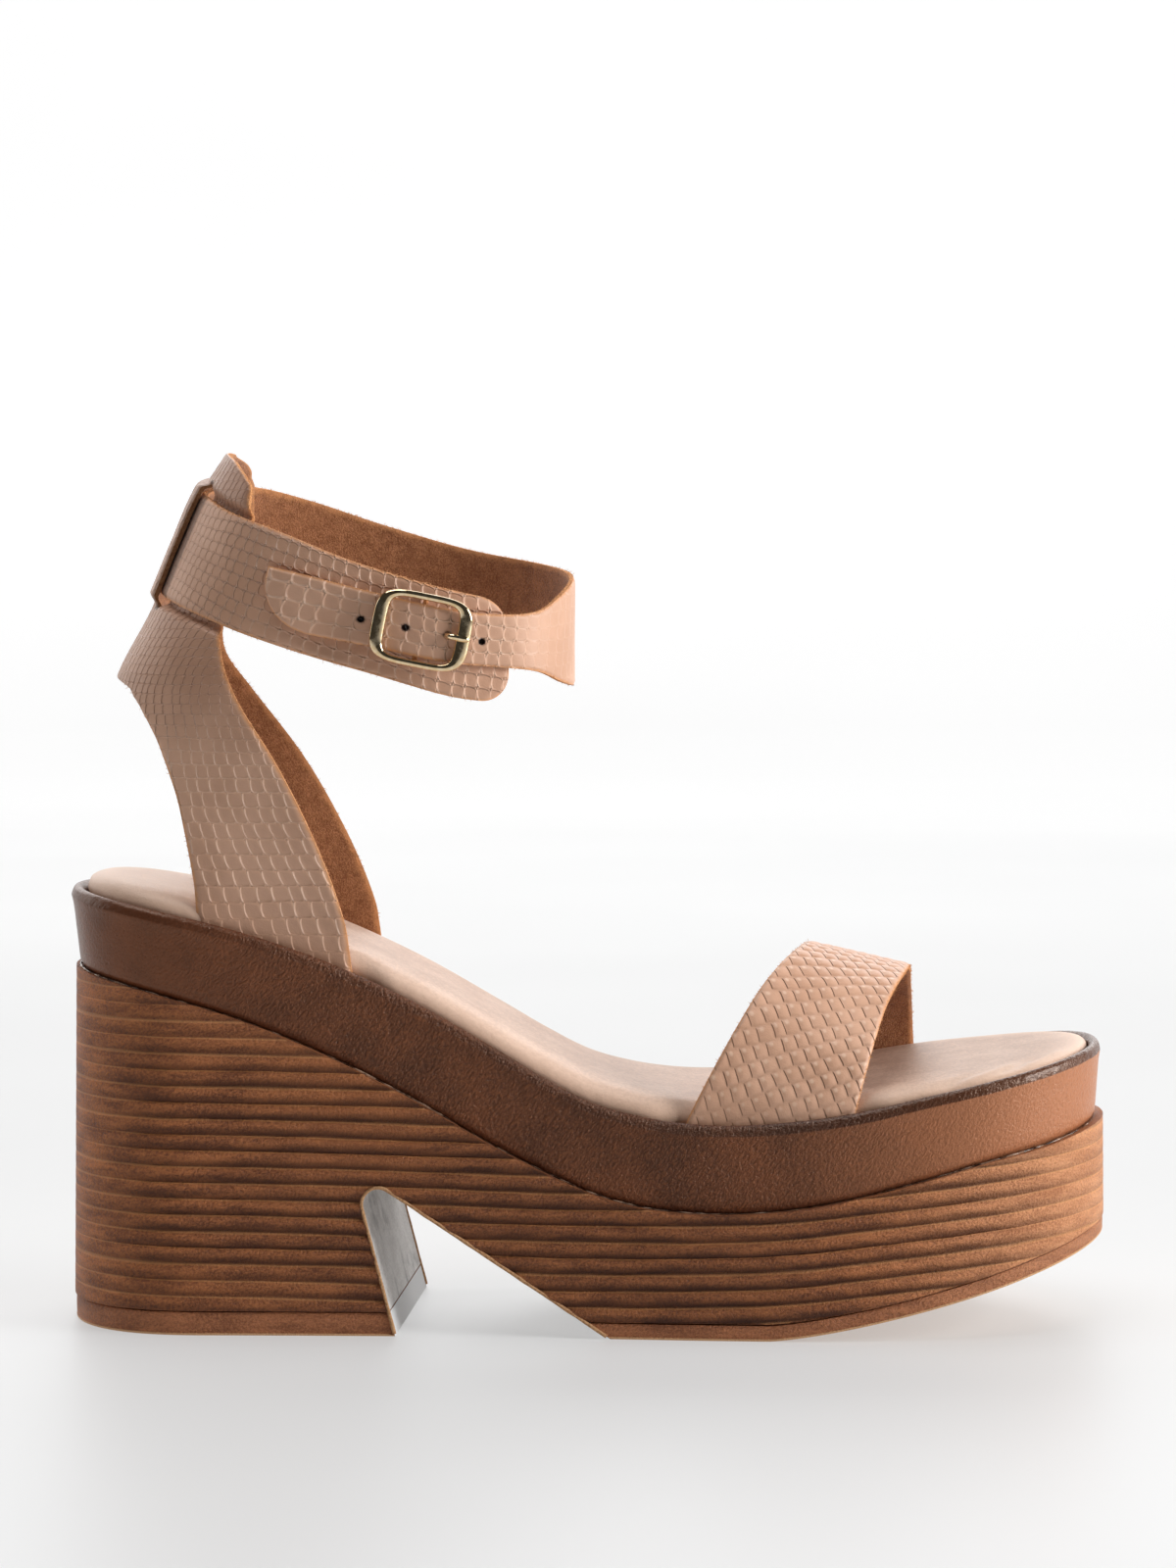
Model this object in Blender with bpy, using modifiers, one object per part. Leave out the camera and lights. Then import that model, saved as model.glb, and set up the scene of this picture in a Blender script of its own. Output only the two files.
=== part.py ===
"""Right-foot platform sandal: notched block heel, toe band, open-backed counter and ankle strap.

Sizes are in millimetres and become metres where a mesh is made. +X is the toe, -Y the outer side, +Z up.
"""
import bpy
import bmesh
import numpy as np
from math import atan2, cos, pi, radians, sin
from mathutils import Matrix, Vector

MM = 0.001
GAP = 0.3
OBJECT_NAME = "platform_sandal"

SOLE_LENGTH = 240.0
HEEL_TIP, TOE_TIP = -SOLE_LENGTH / 2, SOLE_LENGTH / 2
AXIS_SHIFT = -1.7
LATERAL, MEDIAL = -1, 1
SMOOTH_ANGLE = radians(35)
WELD = 0.02


def table(names, rows):
    return dict(zip(names.split(), np.array(rows, float).T))


# Plan of the sole: middle line and half width, before the ends are rounded.
PLAN = table("x centre half", [
    (-120, 0.0, 31.5),
    (-66, -0.5, 31.7),
    (-40, -1.8, 31.2),
    (0, -2.8, 33.0),
    (30, -1.0, 37.5),
    (50, 0.7, 40.3),
    (65, 1.8, 41.2),
    (85, 2.8, 40.5),
    (120, 3.2, 38.5),
])
HEEL_ROUND, HEEL_POWER = 32.0, 2.3
TOE_ROUND, TOE_POWER = 44.0, 2.2

# Side view: top of the stacked block, and top of the wrap's rolled edge.
SIDE = table("x block_top rim", [
    (-120, 82.2, 100.6),
    (-100, 77.8, 96.8),
    (-80, 72.0, 92.0),
    (-60, 63.9, 85.2),
    (-40, 53.8, 76.1),
    (-20, 42.4, 64.7),
    (-10, 37.4, 58.8),
    (0, 33.0, 53.7),
    (10, 30.1, 50.8),
    (20, 28.8, 49.2),
    (30, 28.5, 48.7),
    (45, 29.5, 49.6),
    (60, 32.2, 51.7),
    (75, 36.0, 55.0),
    (90, 39.9, 58.1),
    (105, 43.1, 61.2),
    (120, 46.8, 64.4),
])

# Underside: a flat heel, a flat forefoot and a rising toe.
TOE_SPRING, SPRING_START, SPRING_POWER = 20.0, 40.0, 1.36
TOP_PIECE_THICK = 5.3
RUNNER_THICK = 3.5
BOTTOM_EDGE = 0.8
RUBBER_INSET = 0.4
HEEL_CUT_X, FOREFOOT_CUT_X = -30.0, -16.0

# Sections round each piece of the sole.
SECTIONS = {
    "heel_top_piece": 19,
    "forefoot_outsole": 23,
    "sole_block": 25,
    "platform_wrap": 34,
    "footbed": 34,
}

# Stacked layers of the block.
LAYER = 3.5
GROOVE_DEPTH, GROOVE_HALF = 0.5, 0.45
BLOCK_TAPER = 0.012
LAYER_RISE, LAYER_RISE_START, LAYER_RISE_POWER = 12.0, 20.0, 1.75

# Notch between heel and forefoot, in the side view.
BREAST_FOOT, BREAST_LEAN = -44.2, -0.258
ARCH_FOOT, ARCH_SLOPE = 4.8, 0.655
NOTCH_RADIUS = 3.8
NOTCH_STEPS = 7
NOTCH_DEPTH = 8.0
BREAST_SKEW = 0.079
BREAST_SIDE = -33.0

# Cutters run past the sole by these amounts.
CUTTER_HALF = 70.0
SIDE_MARGIN, SIDE_POINTS = 5.0, 46

# Wrap: inset of the wall below the roll, the roll and the recess for the footbed.
# It stands back from the block at the toe and flares out to the top at the heel.
TOE_SETBACK, SETBACK_FROM, SETBACK_FULL = 0.6, 60.0, 115.0
HEEL_FLARE, FLARE_FROM, FLARE_FULL = 0.8, -90.0, -118.0
WALL = table("inset rise", [
    (3.0, 0.0),
    (2.0, 0.06),
    (1.5, 0.35),
    (1.1, 0.70),
])
ROLL = table("inset drop", [
    (0.8, 2.4),
    (1.2, 0.8),
    (2.2, 0.0),
    (3.1, 0.7),
    (3.4, 1.6),
])
RECESS_DROP = 2.6

# Footbed: edge section from the recess to the crown, as inset and height over the rim.
FOOTBED_EDGE = table("inset height", [
    (4.6, 0.0),
    (3.7, 0.25),
    (3.8, 0.55),
    (4.6, 0.80),
    (6.6, 0.95),
    (11.0, 1.0),
    (18.0, 0.96),
])
CROWN = table("x height", [
    (-120, 4.6),
    (-50, 5.4),
    (10, 5.4),
    (60, 4.2),
    (78, 3.0),
    (95, 1.8),
    (120, 1.5),
])

# Leather of the straps.
LEATHER = 1.6
TUCK_INSET = FOOTBED_EDGE["inset"].min() + LEATHER / 2
TUCK_DEPTH = RECESS_DROP - GAP

# Ankle loop in plan, and how the back of it leans with height.
LOOP_LENGTH, LOOP_WIDTH, LOOP_POWER = 45.0, 30.0, 2.4
BACK = table("z x", [
    (80, -116.0),
    (110, -114.5),
    (130, -112.5),
    (148.6, -108.2),
    (163.6, -100.3),
    (178, -94.3),
    (190, -88.8),
    (199.5, -82.8),
])
BACK_X = -94.3
LEAN_FADE = (20.0, 75.0)
LEG_BLEND = 50.0
LOOP_STEPS = 2001
NORMAL_STEP = 0.4

# Ankle strap: edges by the distance along it from the middle of the back, outer side negative.
STRAP = table("along low top", [
    (-93, 143.0, 166.0),
    (-80, 144.7, 168.7),
    (-60, 151.1, 174.5),
    (-40, 158.4, 181.7),
    (-26, 163.3, 185.7),
    (-11, 166.9, 189.6),
    (0, 167.9, 190.7),
    (22, 167.4, 191.8),
    (42, 163.2, 188.3),
    (63, 157.2, 182.3),
    (82, 152.1, 177.0),
    (104, 148.2, 173.4),
    (122, 146.1, 170.9),
    (130, 146.6, 169.4),
    (137, 147.7, 167.0),
    (145, 150.0, 163.9),
    (155, 151.3, 163.2),
    (166, 152.4, 164.4),
    (183, 156.2, 168.4),
    (200, 160.0, 172.8),
    (207, 161.4, 174.4),
])
STRAP_START, STRAP_END = -93.0, 205.6
WIDE_END_RADIUS = 7.0
TIP_RADIUS = 11.5
LAP = LEATHER + GAP
LAP_START, LAP_FULL = 134.0, 154.0
STRAP_STATIONS, STRAP_ROWS, CORNER_ROWS = 62, 3, 5

# Counter: edges of a leg and wing as the distance along the leather from the back middle line.
REAR_EDGE = table("z outer inner", [
    (80, 38.6, 41.8),
    (95, 37.8, 40.2),
    (113, 35.2, 36.6),
    (123, 33.0, 33.8),
    (130, 30.4, 30.8),
    (136, 27.4, 27.4),
    (140, 24.4, 24.4),
    (144, 20.0, 20.0),
    (147, 13.0, 13.0),
    (148.6, 0.0, 0.0),
])
FRONT_EDGE = table("z outer inner", [
    (80, 61.4, 64.9),
    (95, 59.1, 62.0),
    (113, 54.5, 56.4),
    (130, 48.4, 49.2),
    (145, 40.8, 40.0),
    (155, 35.7, 32.4),
    (161, 32.8, 29.6),
    (172, 31.6, 27.6),
    (184, 30.6, 26.4),
    (189, 28.4, 23.4),
    (192.3, 26.2, 21.0),
    (194, 23.2, 20.0),
    (196.1, 18.8, 18.0),
    (198, 13.6, 13.2),
    (199.5, 4.5, 4.5),
])
APEX_Z, NECK_Z, TAB_Z, TIP_Z = 148.6, 157.0, 195.2, 199.5
APEX_DIP = 1.5
LEG_REAR_BASE, LEG_FRONT_BASE = 92.0, 80.0
SLIT_ALONG, SLIT_HALF = 11.0, 0.6
BACK_FOLD = 6.0
PINCH_FAR, PINCH_NEAR = 3.4, 1.0
FINE_ROW = 1.25
LEG_ROWS, NECK_ROWS, TIP_ROWS, TUCK_ROWS = 13, 4, 5, 4
APEX_CROWDING = 1.9
COLUMNS, LEAST_COLUMN = 6, 1.5

# Toe band by the angle over the foot: 0 is its outer end and 180 its inner end.
TOE_BAND = table("angle rear front", [
    (0, 20.8, 59.3),
    (45, 36.5, 66.4),
    (90, 49.6, 74.0),
    (135, 51.5, 76.8),
    (180, 45.0, 78.4),
])
BAND_TOP_REAR, BAND_TOP_FRONT = 86.4, 80.6
BAND_POWER = 2.2
BAND_STEPS, BAND_ROWS = 30, 4
BAND_TUCK_ANGLE, BAND_TUCK_STEPS, BAND_TUCK_ROWS = 34, 4, 6

# Centre-bar buckle in its own frame: x along the strap, y across, z out of the shoe.
BUCKLE_ALONG, BUCKLE_Z, BUCKLE_TILT = 173.2, 159.9, radians(11.5)
FRAME_LENGTH, FRAME_HEIGHT, FRAME_ROUND = 22.5, 16.8, 4.6
WINDOW_LENGTH, WINDOW_HEIGHT, WINDOW_ROUND = 16.1, 13.6, 2.6
FRAME_THICK, FRAME_SEAT, FRAME_BEVEL = 1.6, 4.0, 0.4
BAR_RADIUS = 0.8
BAR_SEAT = LEATHER / 2 + GAP + BAR_RADIUS
HUMP, HUMP_REACH = 2 * BAR_RADIUS + GAP, 18.0
PRONG_RADIUS = 0.6
PRONG_HOLE = 5.8
PRONG_BEND, PRONG_LEAN = 0.9, 0.4
HOLE_RADIUS = 1.15
HOLES = (-12.2, -3.2, PRONG_HOLE, 13.6)
HOLE_BELOW, HOLE_ABOVE = 1.25, 1.6
ROUND_STEPS, WIRE_SIDES = 4, 2

# Colours are linear red, green and blue.
COLOURS = {
    "heel_top_piece": ((0.20, 0.085, 0.03), 0.55, 0.0),
    "forefoot_outsole": ((0.20, 0.085, 0.03), 0.55, 0.0),
    "sole_block": ((0.16, 0.06, 0.02), 0.45, 0.0),
    "platform_wrap": ((0.09, 0.032, 0.012), 0.4, 0.0),
    "footbed": ((0.62, 0.42, 0.32), 0.5, 0.0),
    "toe_strap": ((0.52, 0.34, 0.24), 0.5, 0.0),
    "heel_counter": ((0.45, 0.28, 0.19), 0.5, 0.0),
    "ankle_strap": ((0.50, 0.32, 0.22), 0.5, 0.0),
    "buckle_frame": ((0.78, 0.62, 0.38), 0.2, 1.0),
    "buckle_prong": ((0.78, 0.62, 0.38), 0.2, 1.0),
}


def follow(columns, name, at, key="x"):
    """Smooth curve through one column of a table."""
    xs, ys = columns[key], columns[name]
    slopes = np.gradient(ys, xs)
    at = np.clip(np.asarray(at, float), xs[0], xs[-1])
    i = np.clip(np.searchsorted(xs, at) - 1, 0, len(xs) - 2)
    step = xs[i + 1] - xs[i]
    u = (at - xs[i]) / step
    start = ys[i] * (1 + 2 * u) + step * slopes[i] * u
    finish = ys[i + 1] * (3 - 2 * u) + step * slopes[i + 1] * (u - 1)
    return start * (1 - u) ** 2 + finish * u * u


def ease(low, high, value):
    u = np.clip((np.asarray(value, float) - low) / (high - low), 0, 1)
    return u * u * (3 - 2 * u)


def rim(x):
    return follow(SIDE, "rim", x)


def block_top(x):
    return follow(SIDE, "block_top", x)


def tread(x):
    lift = np.clip((np.asarray(x, float) - SPRING_START) / (TOE_TIP - SPRING_START), 0, None)
    return TOE_SPRING * lift ** SPRING_POWER


def layer_lift(x):
    lift = np.clip((np.asarray(x, float) - LAYER_RISE_START) / (TOE_TIP - LAYER_RISE_START), 0, None)
    return LAYER_RISE * lift ** LAYER_RISE_POWER


def plan_y(x, side):
    """Edge of the sole at x on one side, with both ends rounded."""
    heel = np.clip((HEEL_TIP + HEEL_ROUND - x) / HEEL_ROUND, 0, 1)
    toe = np.clip((x - TOE_TIP + TOE_ROUND) / TOE_ROUND, 0, 1)
    cap = (1 - heel ** HEEL_POWER) ** (1 / HEEL_POWER) * (1 - toe ** TOE_POWER) ** (1 / TOE_POWER)
    return follow(PLAN, "centre", x) + side * follow(PLAN, "half", x) * cap


def outline(inset, stations, first=HEEL_TIP, last=TOE_TIP):
    """Closed ring round the sole, from the heel along the outer side to the toe and back."""
    turn = np.arccos(np.clip(-np.array([first, last]) / TOE_TIP, -1, 1))
    x = -TOE_TIP * np.cos(np.linspace(turn[0], turn[1], stations))
    whole_heel, whole_toe = first <= HEEL_TIP, last >= TOE_TIP
    lateral = np.stack([x, plan_y(x, LATERAL)], 1)
    medial = np.stack([x, plan_y(x, MEDIAL)], 1)[::-1]
    ring = np.concatenate([lateral, medial[int(whole_toe):len(x) - int(whole_heel)]])
    ahead, behind = np.roll(ring, -1, 0), np.roll(ring, 1, 0)
    tangent = ahead - behind
    normal = np.stack([-tangent[:, 1], tangent[:, 0]], 1)
    normal /= np.linalg.norm(normal, axis=1)[:, None]
    cut_ends = [end for end, whole in ((first, whole_heel), (last, whole_toe)) if not whole]
    for i, (at, across) in enumerate(ring):
        if any(np.isclose(at, end) for end in cut_ends):
            normal[i] = (0, 1 if across < 0 else -1)
    depth = inset(ring[:, 0]) if callable(inset) else inset
    return ring + normal * np.reshape(depth, (-1, 1))


def add_object(name, mesh, collection, parent, cutter=False):
    thing = bpy.data.objects.new(name, mesh)
    collection.objects.link(thing)
    thing.parent = parent
    if cutter:
        thing.hide_render = True
        thing.display_type = "WIRE"
    return thing


def mesh_from(name, bm):
    bmesh.ops.recalc_face_normals(bm, faces=bm.faces)
    mesh = bpy.data.meshes.new(name)
    bm.to_mesh(mesh)
    bm.free()
    mesh.shade_smooth()
    mesh.set_sharp_from_angle(angle=SMOOTH_ANGLE)
    return mesh


def loft(name, rings):
    """Closed solid through rings of equal length, with both end rings filled across the sole."""
    bm = bmesh.new()
    loops = [[bm.verts.new(Vector(point) * MM) for point in ring] for ring in rings]
    count = len(loops[0])
    for lower, upper in zip(loops, loops[1:]):
        for i in range(count):
            j = (i + 1) % count
            bm.faces.new((lower[i], lower[j], upper[j], upper[i]))
    for loop in (loops[0], loops[-1]):
        fill_across(bm, loop)
    return mesh_from(name, bm)


def fill_across(bm, loop):
    """Strips from the outer side to the inner side of a ring that starts at the heel."""
    count = len(loop)
    closed_heel = count % 2 == 0 and abs(loop[0].co.y - loop[-1].co.y) < abs(loop[1].co.y - loop[-1].co.y)
    left, right = (0, count) if closed_heel else (0, count - 1)
    while right - left > 1:
        strip = [loop[left], loop[left + 1], loop[(right - 1) % count], loop[right % count]]
        corners = list(dict.fromkeys(strip))
        if len(corners) > 2:
            bm.faces.new(corners)
        left += 1
        right -= 1


def prism(name, points, half_width, shear=0.0):
    """Side-view outline run across the shoe, as a closed solid."""
    bm = bmesh.new()
    start = [bm.verts.new(Vector((x - half_width * shear, -half_width, z)) * MM) for x, z in points]
    face = bm.faces.new(start)
    swept = bmesh.ops.extrude_face_region(bm, geom=[face])["geom"]
    moved = [item for item in swept if isinstance(item, bmesh.types.BMVert)]
    bmesh.ops.translate(bm, verts=moved, vec=Vector((2 * half_width * shear, 2 * half_width, 0)) * MM)
    return mesh_from(name, bm)


def boolean(thing, cutter, operation):
    modifier = thing.modifiers.new(cutter.name, "BOOLEAN")
    modifier.operation = operation
    modifier.object = cutter
    modifier.solver = "EXACT"


def solidify(thing, thickness):
    modifier = thing.modifiers.new("leather", "SOLIDIFY")
    modifier.thickness = thickness * MM
    modifier.offset = 0
    modifier.use_even_offset = True


def material(thing):
    colour, roughness, metallic = COLOURS[thing.name]
    finish = bpy.data.materials.new(thing.name)
    finish.use_nodes = True
    shader = finish.node_tree.nodes["Principled BSDF"]
    shader.inputs["Base Color"].default_value = (*colour, 1)
    shader.inputs["Roughness"].default_value = roughness
    shader.inputs["Metallic"].default_value = metallic
    thing.data.materials.append(finish)


def ring_at(inset, stations, height, **span):
    flat = outline(inset, stations, **span)
    return [(x, y, float(height(x))) for x, y in flat]


def fillet(before, corner, after, radius, steps):
    """Arc that rounds a corner of an outline."""
    before, corner, after = (np.array(point, float) for point in (before, corner, after))
    one = (before - corner) / np.linalg.norm(before - corner)
    two = (after - corner) / np.linalg.norm(after - corner)
    half = np.arccos(np.clip(one @ two, -1, 1)) / 2
    middle = corner + (one + two) / np.linalg.norm(one + two) * radius / sin(half)
    first = corner + one * radius / np.tan(half) - middle
    last = corner + two * radius / np.tan(half) - middle
    turn = atan2(first[0] * last[1] - first[1] * last[0], first @ last)
    angles = np.linspace(0, turn, steps)
    return [tuple(middle + (first[0] * cos(a) - first[1] * sin(a), first[0] * sin(a) + first[1] * cos(a)))
            for a in angles]


def notch_points():
    """Side view of the notch: leaning breast, rounded top and long slope to the forefoot."""
    apex_z = (ARCH_FOOT - BREAST_FOOT) / (BREAST_LEAN + 1 / ARCH_SLOPE)
    apex = (BREAST_FOOT + BREAST_LEAN * apex_z, apex_z)
    breast = (BREAST_FOOT - BREAST_LEAN * NOTCH_DEPTH, -NOTCH_DEPTH)
    slope = (ARCH_FOOT + NOTCH_DEPTH / ARCH_SLOPE, -NOTCH_DEPTH)
    return [breast, *fillet(breast, apex, slope, NOTCH_RADIUS, NOTCH_STEPS), slope]


def rubber_slab(name, thickness, first, last):
    """Tread piece with a rounded lower edge, following the toe spring."""
    stations = SECTIONS[name]
    rings = [
        ring_at(RUBBER_INSET + BOTTOM_EDGE, stations, tread, first=first, last=last),
        ring_at(RUBBER_INSET, stations, lambda x: tread(x) + BOTTOM_EDGE, first=first, last=last),
        ring_at(RUBBER_INSET, stations, lambda x: tread(x) + thickness, first=first, last=last),
    ]
    return loft(name, rings)


def ribbed_column(name):
    """Tall prism on the sole's plan, grooved at each layer and lifted at the toe."""
    rings = []
    count = int(block_top(HEEL_TIP) / LAYER) + 2
    for layer in range(count):
        for inset, z in ((GROOVE_DEPTH, 0.0), (0.0, GROOVE_HALF), (0.0, LAYER - GROOVE_HALF)):
            height = layer * LAYER + z
            rings.append(ring_at(inset + BLOCK_TAPER * height, SECTIONS[name],
                                 lambda x, h=height: h + layer_lift(x)))
    return loft(name, rings)


def block_side():
    """Side view of the block between its wrap and its rubber."""
    xs = np.linspace(HEEL_TIP - SIDE_MARGIN, TOE_TIP + SIDE_MARGIN, SIDE_POINTS)
    top = [(x, float(block_top(x))) for x in xs]
    front = xs[xs > FOREFOOT_CUT_X][::-1]
    bottom = [(x, float(tread(x)) + RUNNER_THICK + GAP) for x in front]
    step = [(FOREFOOT_CUT_X, RUNNER_THICK + GAP), (FOREFOOT_CUT_X, TOP_PIECE_THICK + GAP)]
    return top + bottom + step + [(xs[0], TOP_PIECE_THICK + GAP)]


def stand_back(inset, flare=0.0):
    """Inset that grows at the toe and shrinks at the heel by a share of the flare."""
    def depth(x):
        toe = TOE_SETBACK * ease(SETBACK_FROM, SETBACK_FULL, x)
        return inset + toe - flare * HEEL_FLARE * ease(FLARE_FROM, FLARE_FULL, x)
    return depth


def wrap_mesh(name):
    stations = SECTIONS[name]
    rings = []
    for inset, rise in zip(WALL["inset"], WALL["rise"]):
        rings.append(ring_at(stand_back(inset, rise), stations,
                             lambda x, r=rise: (block_top(x) + GAP) * (1 - r) + rim(x) * r))
    for number, (inset, drop) in enumerate(zip(ROLL["inset"], ROLL["drop"])):
        flare = 1 - number / (len(ROLL["inset"]) - 1)
        rings.append(ring_at(stand_back(inset, flare), stations, lambda x, d=drop: rim(x) - d))
    rings.append(ring_at(stand_back(ROLL["inset"][-1]), stations, lambda x: rim(x) - RECESS_DROP))
    return loft(name, rings)


def footbed_mesh(name):
    def height(share):
        base = RECESS_DROP - GAP
        return lambda x: rim(x) - base + share * (base + follow(CROWN, "height", x))

    pairs = zip(FOOTBED_EDGE["inset"], FOOTBED_EDGE["height"])
    return loft(name, [ring_at(stand_back(inset), SECTIONS[name], height(share)) for inset, share in pairs])


def half_loop():
    """Plan of half the ankle loop: distance along it, and x and y from the back."""
    turn = np.linspace(0, pi, LOOP_STEPS)
    c, s = np.cos(turn), np.sin(turn)
    x = LOOP_LENGTH * (1 - np.sign(c) * np.abs(c) ** (2 / LOOP_POWER))
    y = LOOP_WIDTH * np.abs(s) ** (2 / LOOP_POWER)
    along = np.concatenate([[0], np.cumsum(np.hypot(np.diff(x), np.diff(y)))])
    return along, x, y


LOOP_ALONG, LOOP_X, LOOP_Y = half_loop()
LOOP_HALF = LOOP_ALONG[-1]


def loop_point(along, z, tuck=False):
    """Point of the ankle surface; tuck draws the legs in to the edge of the footbed."""
    around = (along + LOOP_HALF) % (2 * LOOP_HALF) - LOOP_HALF
    side = MEDIAL if around > 0 else LATERAL
    reach = abs(around)
    fade = 1 - ease(*LEAN_FADE, reach)
    x = BACK_X + np.interp(reach, LOOP_ALONG, LOOP_X) + fade * (follow(BACK, "x", z, "z") - BACK_X)
    y = side * np.interp(reach, LOOP_ALONG, LOOP_Y)
    if tuck:
        blend = ease(0, LEG_BLEND, z - rim(x))
        y = y * blend + (plan_y(x, side) - side * TUCK_INSET) * (1 - blend)
    return Vector((float(x), float(y), float(z)))


def loop_normal(along, z, tuck=False):
    """Direction out of the shoe at a point of the ankle surface."""
    step = NORMAL_STEP
    forward = loop_point(along + step, z, tuck) - loop_point(along - step, z, tuck)
    upward = loop_point(along, z + step, tuck) - loop_point(along, z - step, tuck)
    return upward.cross(forward).normalized()


def strap_edge(along):
    return follow(STRAP, "low", along, "along"), follow(STRAP, "top", along, "along")


def corner_drop(distance, radius):
    """How far a rounded corner has cut into an edge at a distance from the end."""
    inside = np.clip(distance, 0, radius)
    return radius - (radius ** 2 - (radius - inside) ** 2) ** 0.5


def strap_offset(along):
    """Lift of the strap off the ankle surface, over its own inner end and over the buckle's bar."""
    lift = LAP * ease(LAP_START, LAP_FULL, along)
    near = np.clip((along - BUCKLE_ALONG) / HUMP_REACH, -1, 1)
    return float(lift + HUMP * np.cos(near * pi / 2) ** 2)


def strap_point(along, share):
    low, top = strap_edge(along)
    wide = corner_drop(along - STRAP_START, WIDE_END_RADIUS)
    tip = corner_drop(STRAP_END - along, TIP_RADIUS)
    low, top = low + wide + tip, top - wide
    z = low + share * (top - low)
    return loop_point(along, z) + loop_normal(along, z) * strap_offset(along)


def grid_mesh(name, across, up, place, drop=None):
    """Grid bent by a function of its two shares, with the faces of any opening left out."""
    bm = bmesh.new()
    bmesh.ops.create_grid(bm, x_segments=across, y_segments=up, size=0.5)
    shares = {vert: (round((vert.co.x + 0.5) * across), round((vert.co.y + 0.5) * up)) for vert in bm.verts}
    if drop:
        corners = {face: min(shares[vert] for vert in face.verts) for face in bm.faces}
        gone = [face for face, corner in corners.items() if drop(*corner)]
        bmesh.ops.delete(bm, geom=gone, context="FACES")
        shares = {vert: shares[vert] for vert in bm.verts}
    for vert, (i, j) in shares.items():
        vert.co = place(i, j) * MM
    bmesh.ops.remove_doubles(bm, verts=bm.verts, dist=WELD * MM)
    return mesh_from(name, bm)


def end_spaced(first, last, count, radius_first, radius_last):
    """Stations with extra rows in the rounded ends."""
    share = np.linspace(0, 1, CORNER_ROWS, endpoint=False) ** 2
    start = first + radius_first * share
    finish = last - radius_last * share[::-1]
    return np.concatenate([start, np.linspace(first + radius_first, last - radius_last, count), finish])


def ankle_strap_mesh(name):
    stations = end_spaced(STRAP_START, STRAP_END, STRAP_STATIONS, WIDE_END_RADIUS, TIP_RADIUS)
    return grid_mesh(name, len(stations) - 1, STRAP_ROWS,
                     lambda i, j: strap_point(stations[i], j / STRAP_ROWS))


def counter_rows():
    """Height of each row at the rear edge and at the front edge of the leather."""
    leg = 1 - (1 - np.linspace(0, 1, LEG_ROWS, endpoint=False)) ** APEX_CROWDING
    neck = np.linspace(0, 1, NECK_ROWS, endpoint=False)
    level = np.concatenate([np.arange(NECK_Z, TAB_Z, FINE_ROW), np.linspace(TAB_Z, TIP_Z, TIP_ROWS)])

    def heights(base, apex):
        return np.concatenate([base + (apex - base) * leg, apex + (NECK_Z - apex) * neck, level])

    return heights(LEG_REAR_BASE, APEX_Z), heights(LEG_FRONT_BASE, APEX_Z + APEX_DIP)


def pinch(along, z):
    """How fully the leather stands off the strap at a height, from 0 to 1."""
    low, top = strap_edge(along)
    return ease(low - PINCH_FAR, low - PINCH_NEAR, z) * (1 - ease(top + PINCH_NEAR, top + PINCH_FAR, z))


def counter_along(column, rear_z, front_z, side, grow=0.0):
    """Distance along the leather at a column, spaced evenly on a leg and fixed at the slit above it."""
    edge = "inner" if side == MEDIAL else "outer"
    first = float(follow(REAR_EDGE, edge, rear_z, "z")) - grow if rear_z < APEX_Z else 0.0
    last = float(follow(FRONT_EDGE, edge, front_z, "z")) + grow
    even = first + (last - first) * column / (COLUMNS - 1)
    slit = np.array([0, BACK_FOLD, SLIT_ALONG - SLIT_HALF, SLIT_ALONG + SLIT_HALF])
    middle = (slit[-1] + last) / 2
    clear_of_slit = middle > slit[-1] + LEAST_COLUMN
    fixed = [*slit, middle, last] if clear_of_slit else last * np.linspace(0, 1, COLUMNS)
    blend = float(ease(APEX_Z, NECK_Z, rear_z))
    return even * (1 - blend) + fixed[column] * blend


def counter_point(column, rear_z, front_z, side, base=False, grow=0.0):
    """Point of the counter's leather at a column between its rear edge and its front edge."""
    along = counter_along(column, rear_z, front_z, side, grow)
    z = rear_z + (front_z - rear_z) * column / (COLUMNS - 1)
    if base:
        z = float(rim(loop_point(side * along, z, True).x)) - TUCK_DEPTH - 2 * grow
    outward = 1 if along < SLIT_ALONG else -1
    shift = outward * LAP * float(pinch(side * along, z))
    return loop_point(side * along, z, True) + loop_normal(side * along, z, True) * shift


def counter_mesh(name):
    rear, front = counter_rows()
    last_row = len(rear) - 1

    def place(i, j):
        side = LATERAL if i < COLUMNS else MEDIAL
        column = COLUMNS - 1 - i if i < COLUMNS else i - COLUMNS
        return counter_point(column, rear[j], front[j], side, base=j == 0)

    def opening(i, j):
        if i == COLUMNS - 1:
            return True
        slit = i == COLUMNS - 4 or i == COLUMNS + 2
        side = LATERAL if i < COLUMNS else MEDIAL
        low, top = strap_edge(side * SLIT_ALONG)
        return slit and low - PINCH_FAR < rear[j] and j < last_row and rear[j + 1] < top + PINCH_FAR

    return grid_mesh(name, 2 * COLUMNS - 1, last_row, place, opening)


def leg_tuck_mesh(name, side):
    """Strip of a leg's foot, a little longer and wider, that notches the footbed."""
    rear, front = counter_rows()
    return grid_mesh(name, COLUMNS - 1, TUCK_ROWS,
                     lambda i, j: counter_point(i, rear[j], front[j], side, base=j == 0, grow=GAP))


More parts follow.
